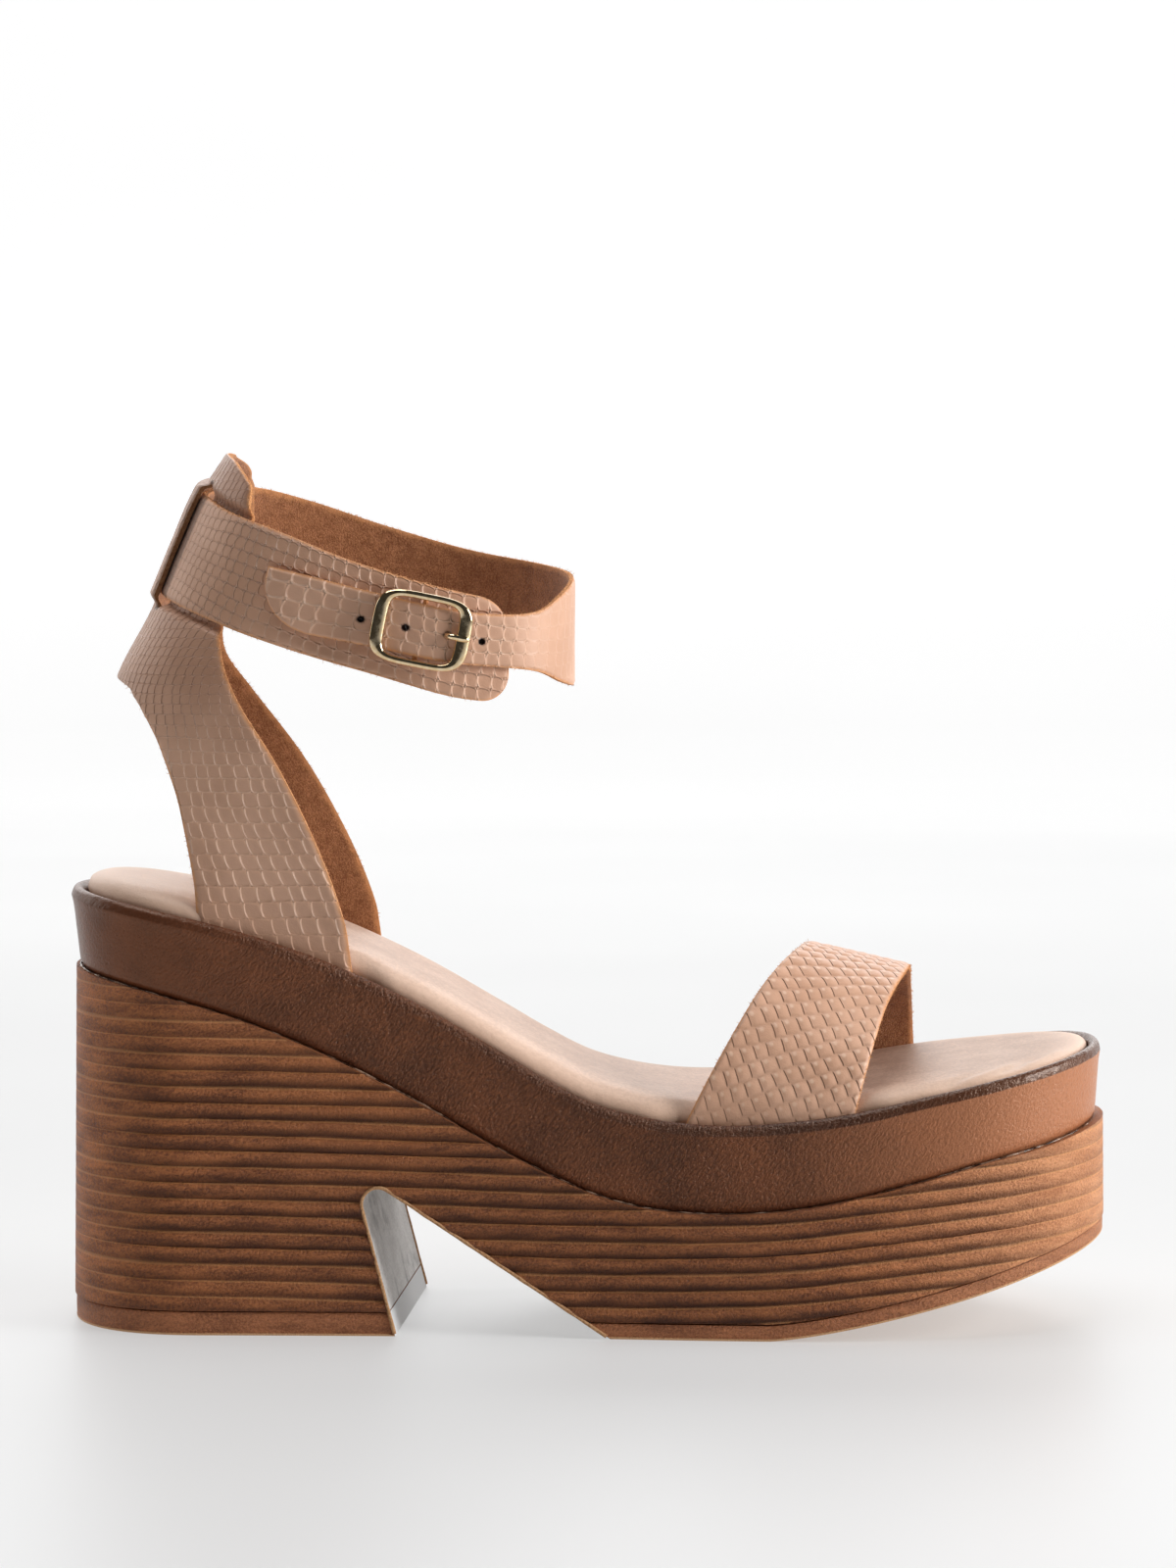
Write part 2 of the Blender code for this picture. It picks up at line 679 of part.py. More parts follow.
def band_point(angle, share, grow=0.0, sink=0.0):
    """Toe band: a superellipse over the foot between its rear edge and its front edge."""
    rear = float(follow(TOE_BAND, "rear", angle, "angle")) - grow
    front = float(follow(TOE_BAND, "front", angle, "angle")) + grow
    x = rear + share * (front - rear)
    inset = float(stand_back(TUCK_INSET)(x))
    lateral = float(plan_y(x, LATERAL)) + inset
    medial = float(plan_y(x, MEDIAL)) - inset
    c, s = cos(radians(angle)), abs(sin(radians(angle)))
    swing = abs(c) ** (2 / BAND_POWER) * (1 if c > 0 else -1)
    y = (lateral + medial) / 2 - swing * (medial - lateral) / 2
    base = float(rim(x)) - TUCK_DEPTH - sink
    top = BAND_TOP_REAR + share * (BAND_TOP_FRONT - BAND_TOP_REAR) - LEATHER / 2
    return Vector((x, y, base + (top - base) * s ** (2 / BAND_POWER)))


def toe_strap_mesh(name):
    return grid_mesh(name, BAND_STEPS, BAND_ROWS,
                     lambda i, j: band_point(180 * i / BAND_STEPS, j / BAND_ROWS))


def band_tuck_mesh(name, side):
    """Strip of one end of the toe band, a little longer and wider, that notches the footbed."""
    start, turn = (0, BAND_TUCK_ANGLE) if side == LATERAL else (180, -BAND_TUCK_ANGLE)

    def place(i, j):
        return band_point(start + turn * i / BAND_TUCK_STEPS, j / BAND_TUCK_ROWS, GAP, 2 * GAP)

    return grid_mesh(name, BAND_TUCK_STEPS, BAND_TUCK_ROWS, place)


def buckle_matrix():
    """Frame of the buckle on the outer side of the strap."""
    origin = loop_point(BUCKLE_ALONG, BUCKLE_Z)
    out = loop_normal(BUCKLE_ALONG, BUCKLE_Z)
    level = (loop_point(BUCKLE_ALONG - 1, BUCKLE_Z) - loop_point(BUCKLE_ALONG + 1, BUCKLE_Z)).normalized()
    along = Matrix.Rotation(BUCKLE_TILT, 3, -out) @ level
    across = out.cross(along)
    matrix = Matrix((along, across, out)).transposed().to_4x4()
    matrix.translation = origin * MM
    return matrix


def rounded_rectangle(length, height, radius):
    points = []
    for corner, (sx, sy) in enumerate(((1, 1), (-1, 1), (-1, -1), (1, -1))):
        for step in range(ROUND_STEPS):
            turn = (corner + step / (ROUND_STEPS - 1)) * pi / 2
            points.append((sx * (length / 2 - radius) + radius * cos(turn),
                           sy * (height / 2 - radius) + radius * sin(turn)))
    return points


def add_spline(curve, points, cyclic):
    spline = curve.splines.new("POLY")
    spline.points.add(len(points) - 1)
    for point, place in zip(spline.points, points):
        point.co = (*(Vector((*place, 0)[:3]) * MM), 1)
    spline.use_cyclic_u = cyclic


def curve_mesh(name, curve):
    """Closed mesh of a curve, with its caps welded on."""
    holder = bpy.data.objects.new(name, curve)
    bpy.context.scene.collection.objects.link(holder)
    bpy.context.view_layer.update()
    evaluated = holder.evaluated_get(bpy.context.evaluated_depsgraph_get())
    mesh = bpy.data.meshes.new_from_object(evaluated)
    bpy.data.objects.remove(holder)
    bm = bmesh.new()
    bm.from_mesh(mesh)
    bmesh.ops.remove_doubles(bm, verts=bm.verts, dist=WELD * MM)
    bpy.data.meshes.remove(mesh)
    return mesh_from(name, bm)


def wire_mesh(name, points, radius):
    curve = bpy.data.curves.new(name, "CURVE")
    curve.dimensions = "3D"
    curve.bevel_depth = radius * MM
    curve.bevel_resolution = WIRE_SIDES
    curve.use_fill_caps = True
    add_spline(curve, points, False)
    return curve_mesh(name, curve)


def frame_mesh(name):
    curve = bpy.data.curves.new(name, "CURVE")
    curve.dimensions = "2D"
    curve.fill_mode = "BOTH"
    curve.extrude = (FRAME_THICK / 2 - FRAME_BEVEL) * MM
    curve.bevel_depth = FRAME_BEVEL * MM
    curve.bevel_resolution = 1
    curve.offset = -FRAME_BEVEL * MM
    add_spline(curve, rounded_rectangle(FRAME_LENGTH, FRAME_HEIGHT, FRAME_ROUND), True)
    add_spline(curve, rounded_rectangle(WINDOW_LENGTH, WINDOW_HEIGHT, WINDOW_ROUND), True)
    mesh = curve_mesh(name, curve)
    mesh.transform(Matrix.Translation((0, 0, (FRAME_SEAT + FRAME_THICK / 2) * MM)))
    return mesh


def bar_points():
    """Centre bar under the strap, with a post up to each long side of the frame."""
    side = (FRAME_HEIGHT + WINDOW_HEIGHT) / 4
    top = FRAME_SEAT + FRAME_THICK / 2
    return [(0, -side, top), (0, -side, BAR_SEAT), (0, side, BAR_SEAT), (0, side, top)]


def prong_points():
    """Tongue from the bar, up through its hole and over the end of the frame."""
    over = FRAME_SEAT + FRAME_THICK + GAP + PRONG_RADIUS
    low = LEATHER / 2 + GAP + PRONG_RADIUS
    end = (FRAME_LENGTH + WINDOW_LENGTH) / 4
    return [
        (BAR_RADIUS + GAP, 0, low),
        (PRONG_HOLE - PRONG_BEND, 0, low),
        (PRONG_HOLE, 0, low + PRONG_BEND),
        (PRONG_HOLE + PRONG_LEAN, 0, over - PRONG_BEND),
        (PRONG_HOLE + PRONG_LEAN + PRONG_BEND, 0, over),
        (end + PRONG_BEND, 0, over),
    ]


def build():
    for thing in list(bpy.data.objects):
        bpy.data.objects.remove(thing)
    scene = bpy.context.scene.collection
    parts = bpy.data.collections.new(OBJECT_NAME)
    tools = bpy.data.collections.new("cutters")
    scene.children.link(parts)
    scene.children.link(tools)
    root = bpy.data.objects.new("sandal_axis", None)
    root.location = (0, AXIS_SHIFT * MM, 0)
    parts.objects.link(root)

    def part(name, mesh, parent=root):
        thing = add_object(name, mesh, parts, parent)
        material(thing)
        return thing

    def cutter(name, mesh, parent=root):
        return add_object(name, mesh, tools, parent, cutter=True)

    skewed = [(x - BREAST_SKEW * BREAST_SIDE, z) for x, z in notch_points()]
    notch = cutter("arch_notch", prism("arch_notch", skewed, CUTTER_HALF, BREAST_SKEW))
    side_view = cutter("block_side", prism("block_side", block_side(), CUTTER_HALF))

    top_piece = part("heel_top_piece", rubber_slab("heel_top_piece", TOP_PIECE_THICK, HEEL_TIP, HEEL_CUT_X))
    runner = part("forefoot_outsole", rubber_slab("forefoot_outsole", RUNNER_THICK, FOREFOOT_CUT_X, TOE_TIP))
    block = part("sole_block", ribbed_column("sole_block"))
    boolean(block, side_view, "INTERSECT")
    for thing in (top_piece, runner, block):
        boolean(thing, notch, "DIFFERENCE")

    part("platform_wrap", wrap_mesh("platform_wrap"))

    footbed = part("footbed", footbed_mesh("footbed"))
    for side, word in ((LATERAL, "outer"), (MEDIAL, "inner")):
        for label, mesh_maker in (("leg", leg_tuck_mesh), ("band", band_tuck_mesh)):
            name = f"{word}_{label}_tuck"
            tuck = cutter(name, mesh_maker(name, side))
            solidify(tuck, LEATHER + 2 * GAP)
            boolean(footbed, tuck, "DIFFERENCE")

    toe_strap = part("toe_strap", toe_strap_mesh("toe_strap"))
    solidify(toe_strap, LEATHER)
    counter = part("heel_counter", counter_mesh("heel_counter"))
    solidify(counter, LEATHER)

    buckle = bpy.data.objects.new("buckle_axis", None)
    parts.objects.link(buckle)
    buckle.parent = root
    buckle.matrix_local = buckle_matrix()

    strap = part("ankle_strap", ankle_strap_mesh("ankle_strap"))
    solidify(strap, LEATHER)
    for number, place in enumerate(HOLES):
        name = f"strap_hole_{number + 1}"
        middle = BUCKLE_ALONG - place
        deep = strap_offset(middle)
        sag = loop_normal(BUCKLE_ALONG, BUCKLE_Z).dot(
            loop_point(BUCKLE_ALONG, BUCKLE_Z) - loop_point(middle, BUCKLE_Z))
        rod = [(place, 0, deep - sag - HOLE_BELOW), (place, 0, deep - sag + HOLE_ABOVE)]
        boolean(strap, cutter(name, wire_mesh(name, rod, HOLE_RADIUS), buckle), "DIFFERENCE")

    frame = part("buckle_frame", frame_mesh("buckle_frame"), buckle)
    bar = cutter("buckle_bar", wire_mesh("buckle_bar", bar_points(), BAR_RADIUS), buckle)
    boolean(frame, bar, "UNION")
    part("buckle_prong", wire_mesh("buckle_prong", prong_points(), PRONG_RADIUS), buckle)


build()
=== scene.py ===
from math import cos, pi, radians, sin

import bpy
import numpy as np
from mathutils import Matrix, Vector


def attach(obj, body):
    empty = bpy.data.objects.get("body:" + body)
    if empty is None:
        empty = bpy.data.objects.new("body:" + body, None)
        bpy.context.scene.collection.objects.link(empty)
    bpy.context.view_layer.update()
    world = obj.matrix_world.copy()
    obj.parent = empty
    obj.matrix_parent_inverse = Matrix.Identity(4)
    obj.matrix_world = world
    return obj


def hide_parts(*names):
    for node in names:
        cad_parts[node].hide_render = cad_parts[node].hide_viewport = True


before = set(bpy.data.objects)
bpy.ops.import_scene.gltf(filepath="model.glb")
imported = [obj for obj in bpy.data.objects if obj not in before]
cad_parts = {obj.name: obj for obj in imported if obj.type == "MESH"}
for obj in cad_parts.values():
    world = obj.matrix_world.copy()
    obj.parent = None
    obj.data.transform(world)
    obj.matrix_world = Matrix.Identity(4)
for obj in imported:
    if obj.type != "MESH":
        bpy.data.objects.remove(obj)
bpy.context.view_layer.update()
mm = 0.001
axisShift = np.array([0.0, -1.7, 0.0])  # the shoe's long axis, off the middle of its box
lateral, medial = -1, 1
draw = np.random.default_rng(37)


# Small maths, all in millimetres

def table(names, rows):
    return dict(zip(names.split(), np.array(rows, float).T))


def through(columns, name, at, key="x"):  # smooth curve through one column of a table
    xs, ys = columns[key], columns[name]
    slopes = np.gradient(ys, xs)
    at = np.clip(np.asarray(at, float), xs[0], xs[-1])
    i = np.clip(np.searchsorted(xs, at) - 1, 0, len(xs) - 2)
    step = xs[i + 1] - xs[i]
    u = (at - xs[i]) / step
    start = ys[i] * (1 + 2 * u) + step * slopes[i] * u
    end = ys[i + 1] * (3 - 2 * u) + step * slopes[i + 1] * (u - 1)
    return start * (1 - u) ** 2 + end * u * u


def ease(low, high, value):
    u = np.clip((np.asarray(value, float) - low) / (high - low), 0, 1)
    return u * u * (3 - 2 * u)


def fadeIn(share, low, high, value):  # a share of the whole before low, all of it after high
    return share + (1 - share) * ease(low, high, value)


hashSteps = (0.7548776662, 0.5698402909, 3.7, 13.7)


def whole(value):
    return value.maths("FLOOR") if isinstance(value, Wire) else np.floor(value)


def fraction(value):
    return value.maths("FRACT") if isinstance(value, Wire) else np.mod(value, 1.0)


def hashed(a, b=0.0):  # a fixed number from 0 to 1 for each pair, the same here and in a shader
    first = fraction(a * hashSteps[0] + b * hashSteps[1])
    return fraction(first * (first + hashSteps[2]) * hashSteps[3])


def ripple(u, v, scale):  # slow waves for hand-made unevenness, about -1 to 1
    a, b = u / scale, v / scale
    return (np.sin(a * 2.1 + 1.3 * np.sin(b * 1.7)) + np.sin(b * 2.7 + 1.1 * np.sin(a * 1.9 + 2.0))
            + np.sin(a * 1.3 - b * 1.6 + 0.7)) / 3


def unit(vectors):
    return vectors / np.maximum(np.linalg.norm(vectors, axis=1), 1e-9)[:, None]


def running(steps):  # running sum that starts at nought
    return np.concatenate([[0], np.cumsum(steps)])


def lengths(points):
    return np.linalg.norm(np.diff(points, axis=0), axis=1)


# Blender helpers

def clearSelection():
    if bpy.context.object and bpy.context.object.mode != "OBJECT":
        bpy.ops.object.mode_set(mode="OBJECT")
    bpy.ops.object.select_all(action="DESELECT")


def pick(thing):
    clearSelection()
    thing.select_set(True)
    bpy.context.view_layer.objects.active = thing


def named(name):
    thing = bpy.context.object
    thing.name = name
    thing.data.name = name
    return thing


def readPoints(thing):
    flat = np.zeros(len(thing.data.vertices) * 3)
    thing.data.vertices.foreach_get("co", flat)
    return flat.reshape(-1, 3)


def setPoints(thing, points):
    thing.data.vertices.foreach_set("co", ((points + axisShift) * mm).ravel())
    thing.data.update()


def addGrid(name, across, up):  # a flat grid, with each point's share across and up
    clearSelection()
    bpy.ops.mesh.primitive_grid_add(x_subdivisions=across, y_subdivisions=up, size=1)
    thing = named(name)
    shares = readPoints(thing)[:, :2] + 0.5
    return thing, shares[:, 0], shares[:, 1]


def paint(thing, name, values):
    layer = thing.data.attributes.get(name) or thing.data.attributes.new(name, "FLOAT", "POINT")
    layer.data.foreach_set("value", np.asarray(values, np.float32))


def painted(thing, name):
    values = np.zeros(len(thing.data.vertices), np.float32)
    thing.data.attributes[name].data.foreach_get("value", values)
    return values.astype(float)


def editSome(thing, kind, layer, chosen, step):  # run one edit-mode step on the chosen faces or edges
    pick(thing)
    bpy.ops.object.mode_set(mode="EDIT")
    bpy.ops.mesh.select_mode(type=kind)
    bpy.ops.mesh.select_all(action="DESELECT")
    bpy.ops.object.mode_set(mode="OBJECT")
    getattr(thing.data, layer).foreach_set("select", chosen)
    bpy.ops.object.mode_set(mode="EDIT")
    step()
    bpy.ops.object.mode_set(mode="OBJECT")


def editAll(thing, *steps):  # run edit-mode steps on the whole mesh
    pick(thing)
    bpy.ops.object.mode_set(mode="EDIT")
    bpy.ops.mesh.select_mode(type="VERT")
    bpy.ops.mesh.select_all(action="SELECT")
    for step in steps:
        step()
    bpy.ops.object.mode_set(mode="OBJECT")


def merge(near=2e-6):
    bpy.ops.mesh.remove_doubles(threshold=near)


def facesOut():
    bpy.ops.mesh.normals_make_consistent(inside=False)


def applyModifier(thing, kind, **settings):
    pick(thing)
    modifier = thing.modifiers.new(kind.lower(), kind)
    for key, value in settings.items():
        setattr(modifier, key, value)
    bpy.ops.object.modifier_apply(modifier=modifier.name)


smoothAngle = {"block": 35, "leather": 50, "round": 60}  # edges sharper than this stay sharp


def smooth(thing, kind):
    pick(thing)
    bpy.ops.object.shade_smooth_by_angle(angle=radians(smoothAngle[kind]))


def finishPiece(thing, node, kind, *finishes, standsFor=True):
    for finish in finishes:
        thing.data.materials.append(finish)
    smooth(thing, kind)
    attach(thing, "root")
    if standsFor:
        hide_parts(node)
    print(thing.name, len(thing.data.polygons), "faces")


def addWires(name, paths, radius, sides, kind="POLY", cyclic=False):  # each path: points and widths
    curve = bpy.data.curves.new(name, "CURVE")
    curve.dimensions = "3D"
    curve.bevel_depth = radius * mm
    curve.bevel_resolution = sides
    curve.use_fill_caps = not cyclic
    for points, widths in paths:
        spline = curve.splines.new(kind)
        spline.points.add(len(points) - 1)
        spots = np.column_stack([(points + axisShift) * mm, np.ones(len(points))])
        spline.points.foreach_set("co", spots.ravel())
        spline.points.foreach_set("radius", widths)
        spline.use_cyclic_u = cyclic
        if kind == "NURBS":
            spline.use_endpoint_u = True
            spline.order_u = 3
            spline.resolution_u = 10
    thing = bpy.data.objects.new(name, curve)
    bpy.context.scene.collection.objects.link(thing)
    pick(thing)
    bpy.ops.object.convert(target="MESH")
    return named(name)


# Shader maths: a wrapped socket, and a finish that adds nodes

class Wire:
    def __init__(self, finish, socket):
        self.finish = finish
        self.socket = socket

    def maths(self, operation, *others):
        return self.finish.node("ShaderNodeMath", {"operation": operation}, dict(enumerate((self, *others))))

    def __add__(self, other):
        return self.maths("ADD", other)

    def __sub__(self, other):
        return self.maths("SUBTRACT", other)

    def __rsub__(self, other):
        return self.finish.node("ShaderNodeMath", {"operation": "SUBTRACT"}, {0: other, 1: self})

    def __mul__(self, other):
        return self.maths("MULTIPLY", other)

    def __truediv__(self, other):
        return self.maths("DIVIDE", other)

    def __pow__(self, other):
        return self.maths("POWER", other)

    def __lt__(self, other):
        return self.maths("LESS_THAN", other)

    __radd__ = __add__
    __rmul__ = __mul__


class Finish:
    def __init__(self, name, **constants):
        self.material = bpy.data.materials.new(name)
        self.material.use_nodes = True
        self.nodes = self.material.node_tree.nodes
        self.links = self.material.node_tree.links
        self.shader = self.nodes["Principled BSDF"]
        self.set(**constants)
        self.place = self.node("ShaderNodeTexCoord", out="Object")

    def node(self, kind, settings=None, values=None, out=0):
        made = self.nodes.new(kind)
        for key, value in (settings or {}).items():
            setattr(made, key, value)
        for key, value in (values or {}).items():
            self.join(made.inputs[key], value)
        return Wire(self, made.outputs[out])

    def join(self, socket, value):
        if isinstance(value, Wire):
            self.links.new(value.socket, socket)
        else:
            socket.default_value = value

    def set(self, **values):
        for key, value in values.items():
            self.join(self.shader.inputs[key.replace("_", " ")], value)

    def attribute(self, name):
        return self.node("ShaderNodeAttribute", {"attribute_name": name}, out="Fac")

    def noise(self, scale, detail=2.0, rough=0.5, place=None, lean=0.0):
        values = {"Vector": place or self.place, "Scale": scale, "Detail": detail, "Roughness": rough,
                  "Distortion": lean}
        return self.node("ShaderNodeTexNoise", None, values)

    def cells(self, scale):
        return self.node("ShaderNodeTexVoronoi", None, {"Vector": self.place, "Scale": scale}, "Distance")

    def stretched(self, x, y, z, turn=0.0):  # object coordinates leaned, then scaled: above 1 is finer
        values = {"Vector": self.place, "Scale": (1 / x, 1 / y, 1 / z), "Rotation": (0.0, turn, 0.0)}
        return self.node("ShaderNodeMapping", {"vector_type": "TEXTURE"}, values)

    def span(self, value, low, high, to=(0.0, 1.0)):  # soft step from low to high
        values = {"Value": value, "From Min": low, "From Max": high, "To Min": to[0], "To Max": to[1]}
        return self.node("ShaderNodeMapRange", {"interpolation_type": "SMOOTHSTEP"}, values)

    def mix(self, share, one, two):
        pair = {0: share, 6: one, 7: two}
        return self.node("ShaderNodeMix", {"data_type": "RGBA"}, pair, out=2)

    def axis(self, name):
        return self.node("ShaderNodeSeparateXYZ", None, {0: self.place}, out=name)

    def bump(self, height, depth=1.0):  # height in millimetres, times the depth
        values = {"Height": height, "Distance": depth * mm, "Strength": 1.0}
        self.set(Normal=self.node("ShaderNodeBump", None, values))


def shade(red, green, blue):  # a colour as seen on a screen, 0 to 255, made linear
    parts = np.array([red, green, blue]) / 255
    return (*np.where(parts <= 0.04045, parts / 12.92, ((parts + 0.055) / 1.055) ** 2.4), 1.0)


# Form of the sole, shared by the pieces that stand on it

soleForm = {
    "length": 240.0,
    "plan": table("x centre half", [
        (-120, 0.0, 31.5), (-66, -0.5, 31.7), (-40, -1.8, 31.2), (0, -2.8, 33.0), (30, -1.0, 37.5),
        (50, 0.7, 40.3), (65, 1.8, 41.2), (85, 2.8, 40.5), (120, 3.2, 38.5),
    ]),
    "side": table("x block rim", [
        (-120, 82.2, 100.6), (-100, 77.8, 96.8), (-80, 72.0, 92.0), (-60, 63.9, 85.2), (-40, 53.8, 76.1),
        (-20, 42.4, 64.7), (-10, 37.4, 58.8), (0, 33.0, 53.7), (10, 30.1, 50.8), (20, 28.8, 49.2),
        (30, 28.5, 48.7), (45, 29.5, 49.6), (60, 32.2, 51.7), (75, 36.0, 55.0), (90, 39.9, 58.1),
        (105, 43.1, 61.2), (120, 46.8, 64.4),
    ]),
    "heelRound": (32.0, 2.3),  # length and power of the rounded end
    "toeRound": (44.0, 2.2),
    "spring": (20.0, 40.0, 1.36),  # rise of the toe, where it starts and its power
    "layers": table("x rise", [
        (-120, 0.9), (-88, 0.6), (-60, 0.0), (-31, -0.7), (0, -1.3), (22, -1.0), (44, 0.0), (66, 2.3),
        (88, 4.6), (105, 6.3), (120, 7.6),
    ]),
    "gap": 0.3,
    "standToe": (0.6, 60, 115),  # extra inset at the toe, and over which x it comes
    "standHeel": (0.8, -90, -118),
}
toeTip = soleForm["length"] / 2


def rim(x):
    return through(soleForm["side"], "rim", x)


def blockTop(x):
    return through(soleForm["side"], "block", x)


def tread(x):
    rise, start, power = soleForm["spring"]
    return rise * np.clip((np.asarray(x, float) - start) / (toeTip - start), 0, None) ** power


def layerLift(x):
    return through(soleForm["layers"], "rise", x)


def planY(x, side):
    heelLong, heelPower = soleForm["heelRound"]
    toeLong, toePower = soleForm["toeRound"]
    heel = np.clip((heelLong - toeTip - x) / heelLong, 0, 1)
    toe = np.clip((x - toeTip + toeLong) / toeLong, 0, 1)
    cap = (1 - heel ** heelPower) ** (1 / heelPower) * (1 - toe ** toePower) ** (1 / toePower)
    return through(soleForm["plan"], "centre", x) + side * through(soleForm["plan"], "half", x) * cap


def soleOutline():  # closed ring at even steps, with the inward normal of each point
    x = -toeTip * np.cos(np.linspace(0, pi, 3000))
    ring = np.concatenate([np.stack([x, planY(x, lateral)], 1), np.stack([x, planY(x, medial)], 1)[-2::-1]])
    return ring, running(lengths(ring))


ringPoints, ringAlong = soleOutline()


def outlineAt(share, inset):  # share 0 to 1 round the sole, inset in from its edge
    reach = np.mod(share, 1.0) * ringAlong[-1]
    step = 0.6

    def at(distance):
        distance = np.mod(distance, ringAlong[-1])
        return np.stack([np.interp(distance, ringAlong, ringPoints[:, k]) for k in (0, 1)], 1)

    tangent = unit(at(reach + step) - at(reach - step))
    return at(reach) + np.stack([-tangent[:, 1], tangent[:, 0]], 1) * np.reshape(inset, (-1, 1))


print("frame loaded, sole form ready")


# Rubber and stacked block

blockLook = {
    "layer": 3.676,
    "layers": 24,
    "firstLayer": 1.15,
    "bulge": 0.85,
    "endBulge": 0.05,
    "ribPower": 2.2,
    "ribSteps": (0.015, 0.07, 0.18, 0.34, 0.5, 0.66, 0.82, 0.93),
    "taper": 0.012,
    "waves": ((0.22, 17.0, 22.0), (0.10, 7.0, 5.0)),  # height, shift from layer to layer, length
    "bulgeWave": (0.10, 31.0, 9.0),
    "uneven": 0.35,
    "flatEnds": ((-94, -115), (84, 114)),
    "flatHeel": ((0.8, 54, 72), (0.5, 18, 10)),  # how flat, between which heights
    "heelReach": (-40, -70),
    "across": 420,
    "topPiece": 5.3,
    "runner": 3.5,
    "rubberInset": 0.4,
    "lowerEdge": 0.35,
    "paleBand": 0.45,
    "edgeRows": 5,
    "cutHalf": 70.0,
    "heelCut": -30.0,
    "forefootCut": -16.0,
    "notch": {"breast": (-44.2, -0.258), "arch": (4.8, 0.655), "radius": 3.8, "skew": 0.079, "side": -33.0},
}


def notchProfile(steps=17, below=8.0):  # side view of the notch: breast, round top, slope
    cut = blockLook["notch"]
    (breastX, lean), (archX, slope) = cut["breast"], cut["arch"]
    high = (archX - breastX) / (lean + 1 / slope)
    apex = np.array([breastX + lean * high, high])
    breast = np.array([breastX - lean * below, -below])
    foot = np.array([archX + below / slope, -below])
    one, two = [(p - apex) / np.linalg.norm(p - apex) for p in (breast, foot)]
    half = np.arccos(one @ two) / 2
    middle = apex + (one + two) / np.linalg.norm(one + two) * cut["radius"] / sin(half)
    first = apex + one * cut["radius"] / np.tan(half) - middle
    last = apex + two * cut["radius"] / np.tan(half) - middle
    turn = np.arctan2(first[0] * last[1] - first[1] * last[0], first @ last)
    arc = [middle + (first[0] * cos(a) - first[1] * sin(a), first[0] * sin(a) + first[1] * cos(a))
           for a in np.linspace(0, turn, steps)]
    return np.array([breast, *arc, foot])


def addPrism(name, profile, half, shear=0.0):  # side-view outline run across the shoe
    clearSelection()
    bpy.ops.mesh.primitive_circle_add(vertices=len(profile), radius=1, fill_type="NGON")
    thing = named(name)
    across = np.full(len(profile), -half)
    setPoints(thing, np.stack([profile[:, 0] - half * shear, across, profile[:, 1]], 1))
    sweep = (2 * half * shear * mm, 2 * half * mm, 0)
    editAll(thing,
            lambda: bpy.ops.mesh.extrude_region_move(TRANSFORM_OT_translate={"value": sweep}),
            lambda: bpy.ops.mesh.select_all(action="SELECT"),
            facesOut)
    return thing


def cutWith(thing, cutter, operation):
    applyModifier(thing, "BOOLEAN", object=cutter, operation=operation, solver="MANIFOLD")


def ringSolid(name, rows, across, cuts=0):  # closed solid through rings given as (inset, height)
    thing, share, rise = addGrid(name, across, len(rows) - 1)
    row = np.round(rise * (len(rows) - 1)).astype(int)
    points = np.zeros((len(share), 3))
    shifted = np.mod(share + 0.5 / across, 1.0)  # an edge, not a point, lies over each tip
    for number, (inset, height) in enumerate(rows):
        here = row == number
        flat = outlineAt(shifted[here], inset(shifted[here]))
        points[here] = np.column_stack([flat, height(flat[:, 0], shifted[here])])
    setPoints(thing, points)
    paint(thing, "ringShare", shifted)
    paint(thing, "ringRow", row)
    editAll(thing, merge)
    bridgeEnd(thing, 0, 0)
    bridgeEnd(thing, len(rows) - 1, cuts)
    editAll(thing, facesOut)
    return thing


def bridgeEnd(thing, end, cuts):  # strips across the shoe from its outer to its inner side
    pairs = np.zeros(len(thing.data.edges) * 2, int)
    thing.data.edges.foreach_get("vertices", pairs)
    pairs = pairs.reshape(-1, 2)
    onEnd = painted(thing, "ringRow")[pairs] == end
    side = painted(thing, "ringShare")[pairs] < 0.5
    editSome(thing, "EDGE", "edges", onEnd.all(axis=1) & (side[:, 0] == side[:, 1]),
             lambda: bpy.ops.mesh.bridge_edge_loops(number_cuts=cuts, interpolation="LINEAR"))


def sheared(profile):
    cut = blockLook["notch"]
    return profile - np.array([cut["skew"] * cut["side"], 0])


def layered(base, number):  # height of a ring of the stack, a little uneven as cut by hand
    def height(x, share):
        s = share * ringAlong[-1]
        wave = sum(high * ripple(s, number * shift, long) for high, shift, long in blockLook["waves"])
        return base + layerLift(x) + wave + blockLook["uneven"] * (hashed(float(number)) - 0.5)
    return height


def ribFade(x, base):  # ribs are flatter at both ends, under the wrap and low on the heel
    ends = np.maximum(*(ease(*reach, x) for reach in blockLook["flatEnds"]))
    heel = np.maximum(*(flat * ease(*reach, base) for flat, *reach in blockLook["flatHeel"]))
    ends = np.maximum(ends, heel * ease(*blockLook["heelReach"], x))
    return 1 - (1 - blockLook["endBulge"]) * ends


def bulged(base, out, number):
    def inset(share):
        s = share * ringAlong[-1]
        x = outlineAt(share, np.zeros_like(share))[:, 0]
        high, shift, long = blockLook["bulgeWave"]
        uneven = high * ripple(s, number * shift, long)
        return (blockLook["bulge"] - out + uneven) * ribFade(x, base) + blockLook["taper"] * base
    return inset


def stackRows():
    rows = []
    for number in range(blockLook["layers"]):
        for edge in blockLook["ribSteps"]:
            out = blockLook["bulge"] * (1 - abs(2 * edge - 1) ** blockLook["ribPower"])
            base = blockLook["firstLayer"] + (number + edge) * blockLook["layer"]
            rows.append((bulged(base, out, number), layered(base, number)))
    return rows


